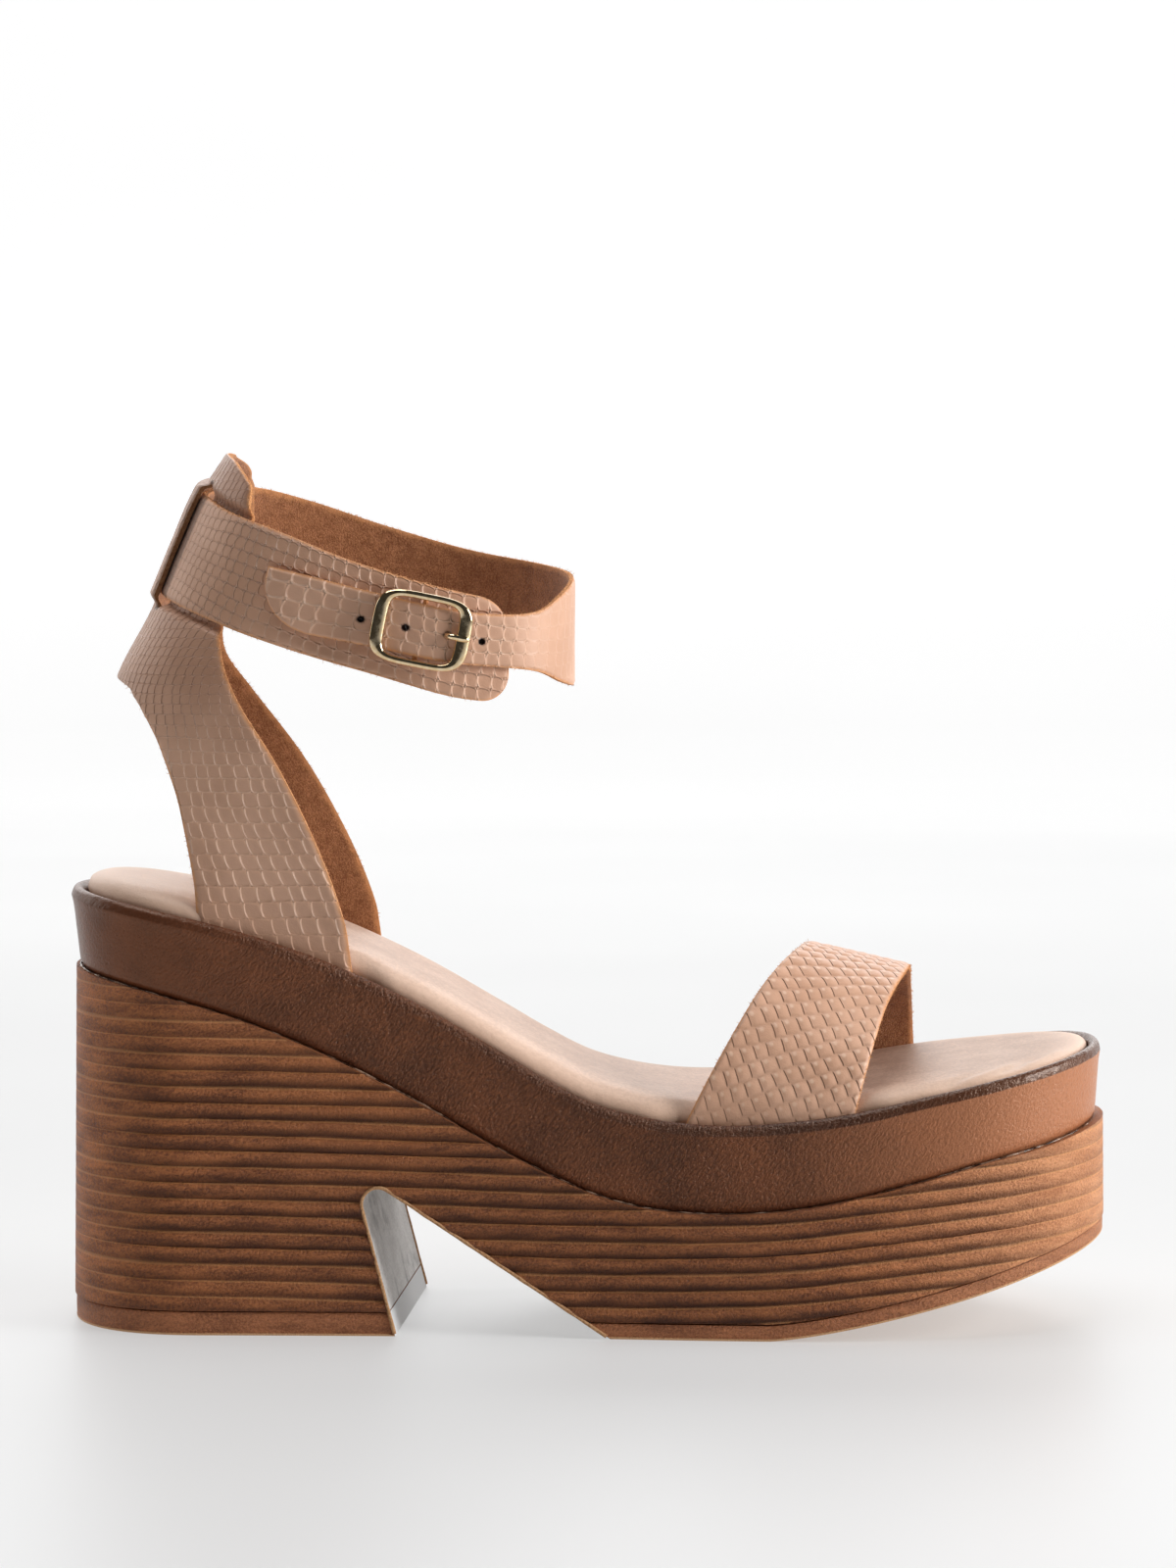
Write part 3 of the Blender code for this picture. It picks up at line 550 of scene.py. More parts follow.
def blockSide():  # side view of the block between its wrap and its rubber
    gap, runner, piece = soleForm["gap"], blockLook["runner"], blockLook["topPiece"]
    cut = blockLook["forefootCut"]
    x = np.linspace(-toeTip - 5, toeTip + 5, 90)
    front = x[x > cut][::-1]
    top = np.column_stack([x, blockTop(x)])
    bottom = np.column_stack([front, tread(front) + runner + gap])
    step = [(cut, runner + gap), (cut, piece + gap), (x[0], piece + gap)]
    return np.concatenate([top, bottom, step])


def rubberRows(thick):  # rounded lower edge with a pale band, then the wall
    inset, edge, band = blockLook["rubberInset"], blockLook["lowerEdge"], blockLook["paleBand"]
    rows = [(inset + edge * (1 - sin(turn)), edge * (1 - cos(turn))) for turn in np.linspace(0, pi / 2, 4)]
    rows += [(inset, band), (inset + 0.12, band + 0.15), (inset + 0.05, band + 0.5), (inset, thick * 0.6),
             (inset + 0.05, thick - 0.4), (inset + 0.3, thick)]
    return [(constant(depth), lambda x, share, lift=lift: tread(x) + lift) for depth, lift in rows]


def constant(value):
    return lambda share: np.full(len(share), value)


def boxProfile(first, last, low=-15.0, high=60.0):
    return np.array([(first, low), (last, low), (last, high), (first, high)])


# Ankle surface that the counter and strap lie on

leather = {
    "thick": 1.6, "tuckInset": 4.5, "tuckDepth": 2.3, "lap": 1.9,
    "worn": (0.4, 0.8, 0.6),  # rounding of a cut edge: depth, reach, share on the flesh side
    "plain": (0.2, 1.6),  # the emboss comes in between these distances from an edge
}
ankle = {
    "length": 45.0,
    "width": 30.0,
    "power": 2.4,
    "backX": -94.3,
    "legBlend": 50.0,
    "leanReach": (20, 75),  # the loop leans with the heel's back, less and less between these
    "back": table("z x", [
        (80, -116.0), (110, -114.5), (130, -112.5), (148.6, -108.2), (163.6, -100.3), (178, -94.3),
        (190, -88.8), (199.5, -82.8),
    ]),
}


def standBack(x, inset, flare=0.0):  # inset that grows at the toe and shrinks at the heel
    toe, heel = soleForm["standToe"], soleForm["standHeel"]
    return inset + toe[0] * ease(*toe[1:], x) - flare * heel[0] * ease(*heel[1:], x)


def halfLoop(steps=2001):
    turn = np.linspace(0, pi, steps)
    c, s = np.cos(turn), np.sin(turn)
    x = ankle["length"] * (1 - np.sign(c) * np.abs(c) ** (2 / ankle["power"]))
    y = ankle["width"] * np.abs(s) ** (2 / ankle["power"])
    return running(np.hypot(np.diff(x), np.diff(y))), x, y


loopAlong, loopX, loopY = halfLoop()
loopHalf = loopAlong[-1]


def anklePoint(along, z, tuck=False):
    around = np.mod(along + loopHalf, 2 * loopHalf) - loopHalf
    side = np.where(around > 0, medial, lateral)
    reach = np.abs(around)
    lean = (1 - ease(*ankle["leanReach"], reach)) * (through(ankle["back"], "x", z, "z") - ankle["backX"])
    x = ankle["backX"] + np.interp(reach, loopAlong, loopX) + lean
    y = side * np.interp(reach, loopAlong, loopY)
    if tuck:
        blend = ease(0, ankle["legBlend"], z - rim(x))
        y = y * blend + (planY(x, side) - side * leather["tuckInset"]) * (1 - blend)
    return np.stack([x, y, z], 1)


def ankleNormal(along, z, tuck=False, step=0.4):
    forward = anklePoint(along + step, z, tuck) - anklePoint(along - step, z, tuck)
    upward = anklePoint(along, z + step, tuck) - anklePoint(along, z - step, tuck)
    return unit(np.cross(upward, forward))


# Embossed leather: a net of lapped scales pressed into the grain side

def scaleNet(u, v, net):  # place in a scale, -1 to 1 each way, and its own number
    row = whole(v)
    across = u + row * net["brick"] + (hashed(row, 3.0) - 0.5) * net["jitter"]

    def border(number):
        return number + (hashed(number, row) - 0.5) * net["jitter"]

    column = whole(across)
    column = column - (across < border(column)) + (1 - (across < border(column + 1)))
    left, right = border(column), border(column + 1)
    return (across - left) * 2 / (right - left) - 1, (v - row) * 2 - 1, hashed(column + 0.5, row)


def netRelief(u, v, lean, net):  # soft part of the emboss; the sharp walls are in the finish
    fu, fv, own = scaleNet(u, v, net)
    fu, fv = fu * net["lean"], fv * lean
    power = net["square"]
    reach = (np.abs(fu) ** power + np.abs(fv) ** power) ** (1 / power)
    lap = sum(step * (one / 2 + ease(1 - 2 * net["wall"], 1, net["bow"] * two ** 2 - one))
              * (1 - ease(net["fade"], 1, np.abs(two)))
              for step, one, two in zip(net["step"], (fu, fv), (fv, fu)))
    flat = 1 - ease(0.6, 1, reach)
    return net["pillow"] * (0.5 - reach ** 2) + net["lift"] * (own - 0.5) * flat + net["meshShare"] * lap


def sheetOf(net, point, normal, edge, u, v, lean, strength, waves, litWallShare, paintedShade, dark):
    return {"point": point, "normal": normal, "edge": edge, "netU": u, "netV": v, "netLean": lean,
            "netDepth": strength, "relief": netRelief(u, v, lean, net) * strength + waves, "litWallShare": litWallShare,
            "paintedShade": paintedShade, "dark": dark}


def leatherSheet(name, across, up, place, finishes, gone=None):  # bent grid, embossed and thickened
    thing, s, t = addGrid(name, across, up)
    paint(thing, "shareU", s)
    paint(thing, "shareV", t)
    if gone is not None:
        corners = np.zeros(len(thing.data.polygons) * 4, int)
        thing.data.polygons.foreach_get("vertices", corners)
        corners = corners.reshape(-1, 4)
        editSome(thing, "FACE", "polygons", gone(s[corners].mean(1), t[corners].mean(1)),
                 lambda: bpy.ops.mesh.delete(type="FACE"))
    setPoints(thing, place(painted(thing, "shareU"), painted(thing, "shareV"))["point"])
    editAll(thing, merge)
    sheet = place(painted(thing, "shareU"), painted(thing, "shareV"))
    face = thing.data.polygons[len(thing.data.polygons) // 2]
    if np.array(face.normal) @ sheet["normal"][face.vertices[0]] < 0:
        editAll(thing, bpy.ops.mesh.flip_normals)
    for finish in finishes:
        thing.data.materials.append(finish)
    half = leather["thick"] / 2
    applyModifier(thing, "SOLIDIFY", thickness=half * mm, offset=-1, material_offset=1, material_offset_rim=2)
    deep, reach, fleshShare = leather["worn"]
    worn = deep * (1 - ease(0, reach, sheet["edge"]))
    rise = sheet["relief"] * ease(*leather["plain"], sheet["edge"])
    outer = sheet["point"] + sheet["normal"] * (half - worn + rise)[:, None]
    inner = sheet["point"] - sheet["normal"] * (half - fleshShare * worn)[:, None]
    setPoints(thing, np.concatenate([outer, inner]))
    # the dark layer carries painted shadow at the slit and the holes
    for layer in ("netU", "netV", "netLean", "netDepth", "litWallShare", "paintedShade", "edge", "dark"):
        paint(thing, layer, np.tile(sheet[layer], 2))
    return thing


def fibres(name, place, edges, node, finish, look):  # loose fibres along cut edges, as one mesh
    paths = []
    for s0, s1, t0, t1, inS, inT, count in edges:
        share = draw.random(count)
        s, t = s0 + (s1 - s0) * share, t0 + (t1 - t0) * share
        here, inside = place(s, t), place(s + inS, t + inT)
        out = unit(here["point"] - inside["point"])
        along = unit(np.cross(out, here["normal"]))
        depth = draw.uniform(-0.75, 0.75, count) * leather["thick"] / 2
        root = here["point"] + here["normal"] * depth[:, None] - out * 0.2
        length = look["short"] + (look["long"] - look["short"]) * draw.random(count) ** 3
        lean = draw.normal(0, 0.8, (count, 2))
        first = unit(out + along * lean[:, :1] + here["normal"] * lean[:, 1:])
        second = unit(first + draw.normal(0, 0.7, (count, 3)))
        for k in range(count):
            bend = root[k] + first[k] * length[k] * look["bend"]
            tip = bend + second[k] * length[k] * (1 - look["bend"])
            paths.append((np.array([root[k], bend, tip]), look["widths"]))
    thing = addWires(name, paths, look["thick"], 0)
    editAll(thing, lambda: merge(1e-6), facesOut)
    finishPiece(thing, node, "round", finish, standsFor=False)


# Finishes

grainLook = {
    "pale": shade(222, 175, 146),
    "deep": shade(206, 159, 130),
    # painted highlight: scale walls facing the lamps, and the spot on each scale
    "paintedHighlight": shade(242, 208, 180),
    # painted shade: scale walls turned from the lamps, and the tone of the painted shade layer
    "crease": shade(128, 84, 60),
    "worn": shade(222, 158, 106),
    # painted shadow in the slit and the buckle holes
    "hole": shade(44, 24, 16),
}


def netWire(f, net):  # the lapped scales of netRelief in the shader: height, strokes for painted light and shade on the walls, and a painted highlight spot
    fu, fv, own = scaleNet(f.attribute("netU"), f.attribute("netV"), net)
    fu, fv = fu * net["lean"], fv * f.attribute("netLean")
    height, strokes, press = 0.0, [], own * 0.7 + 0.6
    for step, one, two in zip(net["step"], (fu, fv), (fv, fu)):
        inside = 1 - f.span(two.maths("ABSOLUTE"), net["fade"], 1.0)
        stroke = f.span(one - two * two * net["bow"], -1.0, net["wall"] - 1, (1.0, 0.0))
        height = height + (one * 0.5 + stroke) * inside * step
        strokes.append(stroke * inside * press)
    far = ((fu - net["spot"][0]) ** 2 + (fv - net["spot"][1]) ** 2) ** 0.5
    return height, strokes, (1 - f.span(far, 0.05, 0.45)) * net["spot"][2]


def leatherGrain(name, look, net):
    f = Finish(name, Roughness=0.45, IOR=1.5, Sheen_Weight=0.12, Sheen_Roughness=0.4)
    (lap, (stroke, under), spot), depth, edge = netWire(f, net), f.attribute("netDepth"), f.attribute("edge")
    cloud = f.noise(55.0, 3.0, 0.55)
    pores = f.noise(2600.0, 2.0, 0.6)
    skin = f.mix(f.span(cloud, 0.35, 0.68), look["deep"], look["pale"])
    # painted highlight spot on one corner of each scale
    skin = f.mix(spot * depth, skin, look["paintedHighlight"])
    # Strokes on the scale walls are painted light and shade: a painted highlight where the lit-wall share is
    # 1, painted shade where it is 0; the walls along the scales also follow the lean and turn to painted
    # shade low down.
    litWallShare = f.attribute("litWallShare")
    lit = f.span(f.attribute("netLean"), -1.0, 1.0) * litWallShare * f.span(f.axis("Z"), 0.1, 0.125)
    skin = f.mix(stroke * depth * net["wallLightAndShade"][0], skin, f.mix(litWallShare, look["crease"], look["paintedHighlight"]))
    skin = f.mix(under * depth * net["wallLightAndShade"][1], skin, f.mix(lit, look["crease"], look["paintedHighlight"]))
    worn = 1 - f.span(edge + f.noise(900.0) * 0.7, 0.4, 1.0)
    # painted shade layer: the neck, the tab, the back of the strap, round the buckle and the top of the toe
    # strap
    skin = f.mix(f.attribute("paintedShade"), skin, look["crease"])
    skin = f.mix(worn * 0.9, skin, look["worn"])
    # painted shadow in and beside the slit and the holes
    f.set(Base_Color=f.mix(f.attribute("dark"), skin, look["hole"]))
    f.set(Roughness=f.span(pores, 0.3, 0.75, (0.4, 0.56)))
    f.bump(pores * 0.05 + f.noise(900.0, 2.0) * 0.05 + lap * depth)
    return f.material


def leatherFlesh(name, light, dark):
    f = Finish(name, Roughness=0.9, IOR=1.3, Sheen_Weight=0.3, Sheen_Roughness=0.5)
    nap = f.noise(3000.0, 3.0, 0.7, f.stretched(1.0, 1.0, 0.75))
    cloud = f.noise(380.0, 3.0, 0.6)
    fuzz = 1 - f.span(f.attribute("edge") + f.noise(600.0) * 2.0, 1.0, 2.6)
    tone = f.mix(f.span(nap * 0.7 + cloud * 0.3, 0.36, 0.66), dark, light)
    f.set(Base_Color=f.mix(fuzz * 0.75, tone, shade(224, 156, 100)))
    f.bump(nap * 0.42 + cloud * 0.1)
    return f.material


def leatherRaw(name, light, dark):
    f = Finish(name, Roughness=0.85, IOR=1.35)
    nap = f.noise(1900.0, 3.0, 0.7)
    tone = f.mix(f.span(nap, 0.3, 0.7), dark, light)
    # painted shadow on cut edges inside the slit and the holes
    f.set(Base_Color=f.mix(f.attribute("dark"), tone, shade(58, 33, 23)))
    f.bump(nap, 0.4)
    return f.material


flesh = leatherFlesh("strapFlesh", shade(198, 136, 92), shade(138, 86, 53))
rawEdge = leatherRaw("strapEdge", shade(236, 172, 116), shade(176, 112, 66))
fibreTan = leatherRaw("fibreTan", shade(240, 186, 134), shade(204, 140, 88))


# Ankle strap

strapLook = {
    "edges": table("along low top", [
        (-93, 143.0, 166.0), (-80, 144.7, 168.7), (-60, 151.1, 174.5), (-40, 158.4, 181.7),
        (-26, 163.3, 185.7), (-11, 166.9, 189.6), (0, 167.9, 190.7), (22, 167.4, 191.8), (42, 163.2, 188.3),
        (63, 157.2, 182.3), (82, 152.1, 177.0), (104, 148.2, 173.4), (122, 146.1, 170.9),
        (130, 146.6, 169.4), (137, 147.7, 167.0), (145, 150.0, 163.9), (155, 151.3, 163.2),
        (166, 152.4, 164.4), (183, 156.2, 168.4), (200, 160.0, 172.8), (207, 161.4, 174.4),
    ]),
    "start": -93.0,
    "end": 205.6,
    "wideRound": 7.0,
    "tipRound": 11.5,
    "overlap": (134.0, 154.0),
    "across": 720,
    "up": 52,
    "endSteps": 18,
    "cellWide": table("along size", [
        (-93, 3.1), (-60, 2.8), (-35, 2.5), (-15, 1.9), (15, 1.9), (60, 2.8), (140, 3.4), (165, 2.9),
        (190, 3.6), (207, 4.0),
    ]),
    "cellTall": table("along size", [
        (-93, 3.0), (-60, 2.8), (-35, 2.6), (-15, 2.1), (15, 2.1), (60, 2.8), (140, 3.1), (165, 3.1),
        (190, 3.5), (207, 3.7),
    ]),
    "quietBack": (0.3, 16, 36),  # emboss left at the back, and where it comes in
    "quietFront": (0.75, (104, 122), (146, 160)),  # emboss lost in front, from and to
    # painted shade towards the back of the strap, and round the buckle
    "paintedShade": (0.14, 24, 44),
    "buckleShade": (0.14, 12),
    "slitShade": (0.6, 13.0, 14.2),
    # the net's wall weights paint light and shade on the scale walls, across and along
    "net": {"brick": 0.15, "jitter": 0.22, "square": 4.5, "wall": 0.26, "bow": 0.3, "fade": 0.8,
            "lean": -1.0, "step": (0.46, 0.32), "wallLightAndShade": (0.42, 0.42), "spot": (0.6, 0.6, 0.0),
            "pillow": 0.05, "lift": 0.03, "meshShare": 0.3},
}
buckleSpot = {"along": 173.2, "z": 159.9, "tilt": radians(11.5), "hump": 1.9, "humpReach": 18.0}
holeLook = {"radius": 0.7, "at": (-12.2, -3.2, 5.8, 13.6)}


def strapEdges(along):
    return (through(strapLook["edges"], "low", along, "along"),
            through(strapLook["edges"], "top", along, "along"))


def cornerDrop(distance, radius):
    inside = np.clip(distance, 0, radius)
    return radius - np.sqrt(np.maximum(radius ** 2 - (radius - inside) ** 2, 0))


def strapStations():
    share = np.linspace(0, 1, strapLook["endSteps"], endpoint=False) ** 2
    first, last = strapLook["start"], strapLook["end"]
    wide, tip = strapLook["wideRound"], strapLook["tipRound"]
    count = strapLook["across"] + 1 - 2 * strapLook["endSteps"]
    return np.concatenate([first + wide * share, np.linspace(first + wide, last - tip, count),
                           last - tip * share[::-1]])


stations = strapStations()


def cellCount():  # running count of cells along a strap whose cells change size
    steps = np.linspace(strapLook["start"], strapLook["end"] + 2, 900)
    size = through(strapLook["cellWide"], "size", steps, "along")
    return steps, running(np.diff(steps) / size[1:])


cellSteps, cellRun = cellCount()


def strapFlat(s, t):
    along = np.interp(s * strapLook["across"], np.arange(len(stations)), stations)
    low, top = strapEdges(along)
    wide = cornerDrop(along - strapLook["start"], strapLook["wideRound"])
    tip = cornerDrop(strapLook["end"] - along, strapLook["tipRound"])
    z = low + wide + tip + t * (top - low - 2 * wide - tip)
    return along, z, z - (low + top) / 2, np.minimum(z - low - wide - tip, top - wide - z)


def holeSpots():
    tilt = buckleSpot["tilt"]
    return [(buckleSpot["along"] - x * cos(tilt), buckleSpot["z"] - x * sin(tilt)) for x in holeLook["at"]]


def strapPlace(s, t):
    along, z, across, edge = strapFlat(s, t)
    dark = np.zeros_like(along)
    for spotAlong, spotZ in holeSpots():  # draw nearby points on to the rim of a hole
        dx, dz = along - spotAlong, z - spotZ
        far = np.maximum(np.hypot(dx, dz), 1e-6)
        near = (far < holeLook["radius"] + 0.25) & (far > 0.2)
        pull = np.where(near, (holeLook["radius"] + (far - holeLook["radius"]) * 0.15) / far, 1.0)
        along, z = spotAlong + dx * pull, spotZ + dz * pull
        edge = np.minimum(edge, np.abs(far - holeLook["radius"]) + 0.4)
        under = np.hypot(along - spotAlong + 2 * loopHalf, dz)  # the layer below, seen down the hole
        # painted shadow round each hole and on the layer seen down it
        dark = np.maximum(dark, 1 - ease(0.1, 0.35, np.minimum(far - holeLook["radius"], under - 1.0)))
    edge = np.minimum(edge, np.minimum(along - strapLook["start"], strapLook["end"] - along))
    lift = leather["lap"] * ease(*strapLook["overlap"], along)
    near = np.clip((along - buckleSpot["along"]) / buckleSpot["humpReach"], -1, 1)
    lift = lift + buckleSpot["hump"] * np.cos(near * pi / 2) ** 2
    normal = ankleNormal(along, z)
    uneven = 0.25 * ripple(along, across, 3.0)
    u = np.interp(along, cellSteps, cellRun) + uneven * 0.3
    v = across / through(strapLook["cellTall"], "size", along, "along") + 0.12 * ripple(along, across, 7.0)
    strength = np.clip(0.9 + 0.3 * ripple(along, across, 16.0), 0.3, 1.2)
    strength = strength * fadeIn(*strapLook["quietBack"], np.abs(along))
    lost, start, end = strapLook["quietFront"]
    strength = strength * (1 - lost * ease(*start, along) * (1 - ease(*end, along)))
    waves = 0.10 * ripple(along, across, 11.0)
    lean = np.where(along > 60, 1.0, -1.0)
    tone, *reach = strapLook["paintedShade"]
    paintedShade = tone * (1 - ease(*reach, np.abs(along)))
    tone, reach = strapLook["buckleShade"]
    paintedShade = paintedShade + tone * np.exp(-((along - buckleSpot["along"]) / reach) ** 2)
    tone, *reach = strapLook["slitShade"]
    dark = np.maximum(dark, tone * (1 - ease(*reach, np.abs(along))))
    return sheetOf(strapLook["net"], anklePoint(along, z) + normal * lift[:, None], normal, edge, u, v, lean,
                   strength, waves, np.ones_like(lean), paintedShade, dark)


def strapHoles(s, t):
    along, z = strapFlat(s, t)[:2]
    return np.any([np.hypot(along - a, z - h) < holeLook["radius"] for a, h in holeSpots()], axis=0)


ankleStrap = leatherSheet("ankleStrap", strapLook["across"], strapLook["up"], strapPlace,
                          (leatherGrain("strapGrain", grainLook, strapLook["net"]), flesh, rawEdge),
                          strapHoles)
finishPiece(ankleStrap, "ankle_strap", "leather")


# Heel counter

counterLook = {
    "rear": table("z outer inner", [
        (80, 38.6, 41.8), (95, 37.8, 40.2), (113, 35.2, 36.6), (123, 33.0, 33.8), (130, 30.4, 30.8),
        (136, 27.4, 27.4), (140, 24.4, 24.4), (144, 20.0, 20.0), (147, 13.0, 13.0), (148.6, 0.0, 0.0),
    ]),
    "front": table("z outer inner", [
        (80, 61.4, 64.9), (95, 59.1, 62.0), (113, 54.5, 56.4), (130, 48.4, 49.2), (145, 40.8, 40.0),
        (155, 35.7, 32.4), (161, 32.8, 29.6), (172, 31.6, 27.6), (184, 30.6, 26.4), (189, 28.4, 23.4),
        (192.3, 26.2, 21.0), (194, 23.2, 20.0), (196.1, 18.8, 18.0), (198, 13.6, 13.2), (199.5, 4.5, 4.5),
    ]),
    "apex": 148.6,
    "apexDip": 1.5,
    "neck": 157.0,
    "tip": 199.5,
    "rearBase": 92.0,
    "frontBase": 80.0,
    "slit": (11.0, 0.8),
    "fold": 6.0,
    "pinch": (2.7, 0.7),
    "splits": (12, 11, 8, 11, 12),
    "rows": (190, 26, 106),
    "crowding": 1.6,
    "quietNeck": (0.7, 150, 125),
    "quietTuck": (0.25, 1, 10),
    # scale walls take painted shade above the first height and a painted highlight below the second
    "litWallShare": (146, 128),
    # painted shade on the neck and the tab
    "paintedShade": ((0.28, 130, 150), (0.2, 180, 190)),  # how dark, between which heights
    "cell": table("z wide tall", [
        (78, 2.45, 3.75), (100, 2.3, 3.65), (120, 2.05, 3.4), (131, 1.95, 3.0), (148, 1.8, 2.1),
        (160, 1.9, 2.0), (200, 2.0, 2.0),
    ]),
    # the net's wall weights paint light and shade on the scale walls, across and along
    "net": {"brick": 0.13, "jitter": 0.25, "square": 5.0, "wall": 0.22, "bow": 0.2, "fade": 0.74,
            "lean": 1.0, "step": (0.52, 0.22), "wallLightAndShade": (0.58, 0.34), "spot": (0.6, 0.6, 0.0),
            "pillow": 0.05, "lift": 0.03, "meshShare": 0.3},
}
bands = len(counterLook["splits"])
columns = np.concatenate([k + np.arange(n) / n for k, n in enumerate(counterLook["splits"])] + [[bands]])
sideColumns = len(columns)
counterAcross = 2 * sideColumns - 1


def counterHeights():
    legs, neck, level = counterLook["rows"]
    leg = 1 - (1 - np.arange(legs) / legs) ** counterLook["crowding"]
    flat = np.linspace(counterLook["neck"], counterLook["tip"], level + 1)

    def heights(base, apex):
        return np.concatenate([base + (apex - base) * leg,
                               apex + (counterLook["neck"] - apex) * np.arange(neck) / neck, flat])

    return (heights(counterLook["rearBase"], counterLook["apex"]),
            heights(counterLook["frontBase"], counterLook["apex"] + counterLook["apexDip"]))


rearHeights, frontHeights = counterHeights()
counterUp = len(rearHeights) - 1


def cellRows():  # running count of scale rows by height
    z = np.linspace(76, 202, 600)
    return z, running(np.diff(z) / through(counterLook["cell"], "tall", z[1:], "z"))


rowSteps, rowRun = cellRows()


def counterFlat(s, t):
    i, j = s * counterAcross, t * counterUp
    side = np.where(i < sideColumns - 0.5, lateral, medial)
    place = np.where(side == lateral, sideColumns - 1 - i, i - sideColumns)
    column = np.interp(place, np.arange(sideColumns), columns)
    rear = np.interp(j, np.arange(counterUp + 1), rearHeights)
    front = np.interp(j, np.arange(counterUp + 1), frontHeights)
    first, last = [np.where(side == medial, through(counterLook[edge], "inner", z, "z"),
                            through(counterLook[edge], "outer", z, "z"))
                   for edge, z in (("rear", rear), ("front", front))]
    first = np.where(rear < counterLook["apex"], first, 0)
    level = first + (last - first) * column / bands
    slit, half = counterLook["slit"]
    knots = [np.zeros_like(last), np.full_like(last, counterLook["fold"]), np.full_like(last, slit - half),
             np.full_like(last, slit + half), (slit + half + last) / 2, last]
    k = np.clip(np.floor(column).astype(int), 0, bands - 1)
    stack, row = np.stack(knots, 1), np.arange(len(k))
    fixed = stack[row, k] + (stack[row, k + 1] - stack[row, k]) * (column - k)
    plain = last * column / bands
    clear = ease(0.8, 3.0, (last - slit - half) / 2)
    fixed = fixed * clear + plain * (1 - clear)
    blend = ease(counterLook["apex"], counterLook["neck"], rear)
    along = level * (1 - blend) + fixed * blend
    z = rear + (front - rear) * column / bands
    leg = j / counterLook["rows"][0]
    base = rim(anklePoint(side * along, z, True)[:, 0]) - leather["tuckDepth"]
    z = z + (base - z) * (1 - ease(0.0, 0.12, leg))
    edge = last - along
    edge = np.where(rear < counterLook["apex"], np.minimum(edge, along - first), edge)
    edge = np.minimum(edge, counterLook["tip"] + 0.2 - z)
    return along, z, side, edge, column


def slitSpan(side):
    low, top = strapEdges(side * counterLook["slit"][0])
    return low - counterLook["pinch"][0], top + counterLook["pinch"][0]


def counterPlace(s, t):
    along, z, side, edge = counterFlat(s, t)[:4]
    slit, half = counterLook["slit"]
    far, near = counterLook["pinch"]
    low, top = strapEdges(side * along)
    pinch = ease(low - far, low - near, z) * (1 - ease(top + near, top + far, z))
    shift = np.where(along < slit, 1, -1) * leather["lap"] * pinch
    first, last = slitSpan(side)
    inSlit = (z > first) & (z < last)
    edge = np.where(inSlit, np.minimum(edge, np.abs(along - slit) - half + 0.1), edge)
    normal = ankleNormal(side * along, z, True)
    wide = through(counterLook["cell"], "wide", z, "z")
    u = -side * along / wide + 0.10 * ripple(side * along, z, 5.0)
    v = np.interp(z, rowSteps, rowRun) + 0.10 * ripple(side * along * 1.1, z, 9.0)
    strength = fadeIn(*counterLook["quietNeck"], z) * (0.9 + 0.25 * ripple(along, z, 17.0))
    aboveRim = z - rim(anklePoint(side * along, z, True)[:, 0])
    strength = strength * fadeIn(*counterLook["quietTuck"], aboveRim)
    waves = 0.10 * ripple(along, z, 10.0)
    lean = np.ones_like(z)
    # painted shadow along the slit's edges
    dark = (1 - ease(0.3, 0.7, np.abs(along - slit) - half)) * ((z > first - 0.6) & (z < last + 0.6)) * 0.62
    paintedShade = sum(tone * ease(*reach, z) for tone, *reach in counterLook["paintedShade"])
    return sheetOf(counterLook["net"], anklePoint(side * along, z, True) + normal * shift[:, None], normal,
                   np.maximum(edge, 0), u, v, lean, strength, waves, ease(*counterLook["litWallShare"], z),
                   paintedShade, dark)


def counterOpenings(s, t):
    z, side, column = [counterFlat(s, t)[k] for k in (1, 2, 4)]
    i = s * counterAcross
    first, last = slitSpan(side)
    inSlit = (column > 2) & (column < 3) & (z > first) & (z < last)
    return inSlit | ((i > sideColumns - 1) & (i < sideColumns))


heelCounter = leatherSheet("heelCounter", counterAcross, counterUp, counterPlace,
                           (leatherGrain("counterGrain", grainLook, counterLook["net"]), flesh, rawEdge),
                           counterOpenings)
finishPiece(heelCounter, "heel_counter", "leather")


# Toe strap

toeLook = {
    "band": table("angle rear front", [
        (0, 20.8, 59.3), (45, 36.5, 66.4), (90, 49.6, 74.0), (135, 51.5, 76.8), (180, 45.0, 78.4),
    ]),
    "top": (86.4, 80.6),
    "power": 2.2,
    "across": 360,
    "up": 92,
    "cell": (3.2, 3.9),
    "tilt": radians(18),
    "origin": 48,
    "quietEnd": (0.45, 2, 12),
    # painted shade on the top of the strap
    "paintedShade": (0.16, 90, 40),  # how dark, at which angle, how wide
    # the net's wall weights paint shade on the scale walls; its spot paints a highlight on one corner of each
    # scale
    "net": {"brick": 0.27, "jitter": 0.22, "square": 3.5, "wall": 0.19, "bow": 0.06, "fade": 0.55,
            "lean": -1.0, "step": (0.36, 0.02), "wallLightAndShade": (0.82, 0.03), "spot": (0.5, -0.5, 0.8),
            "pillow": 0.28, "lift": 0.05, "meshShare": 0.35},
}


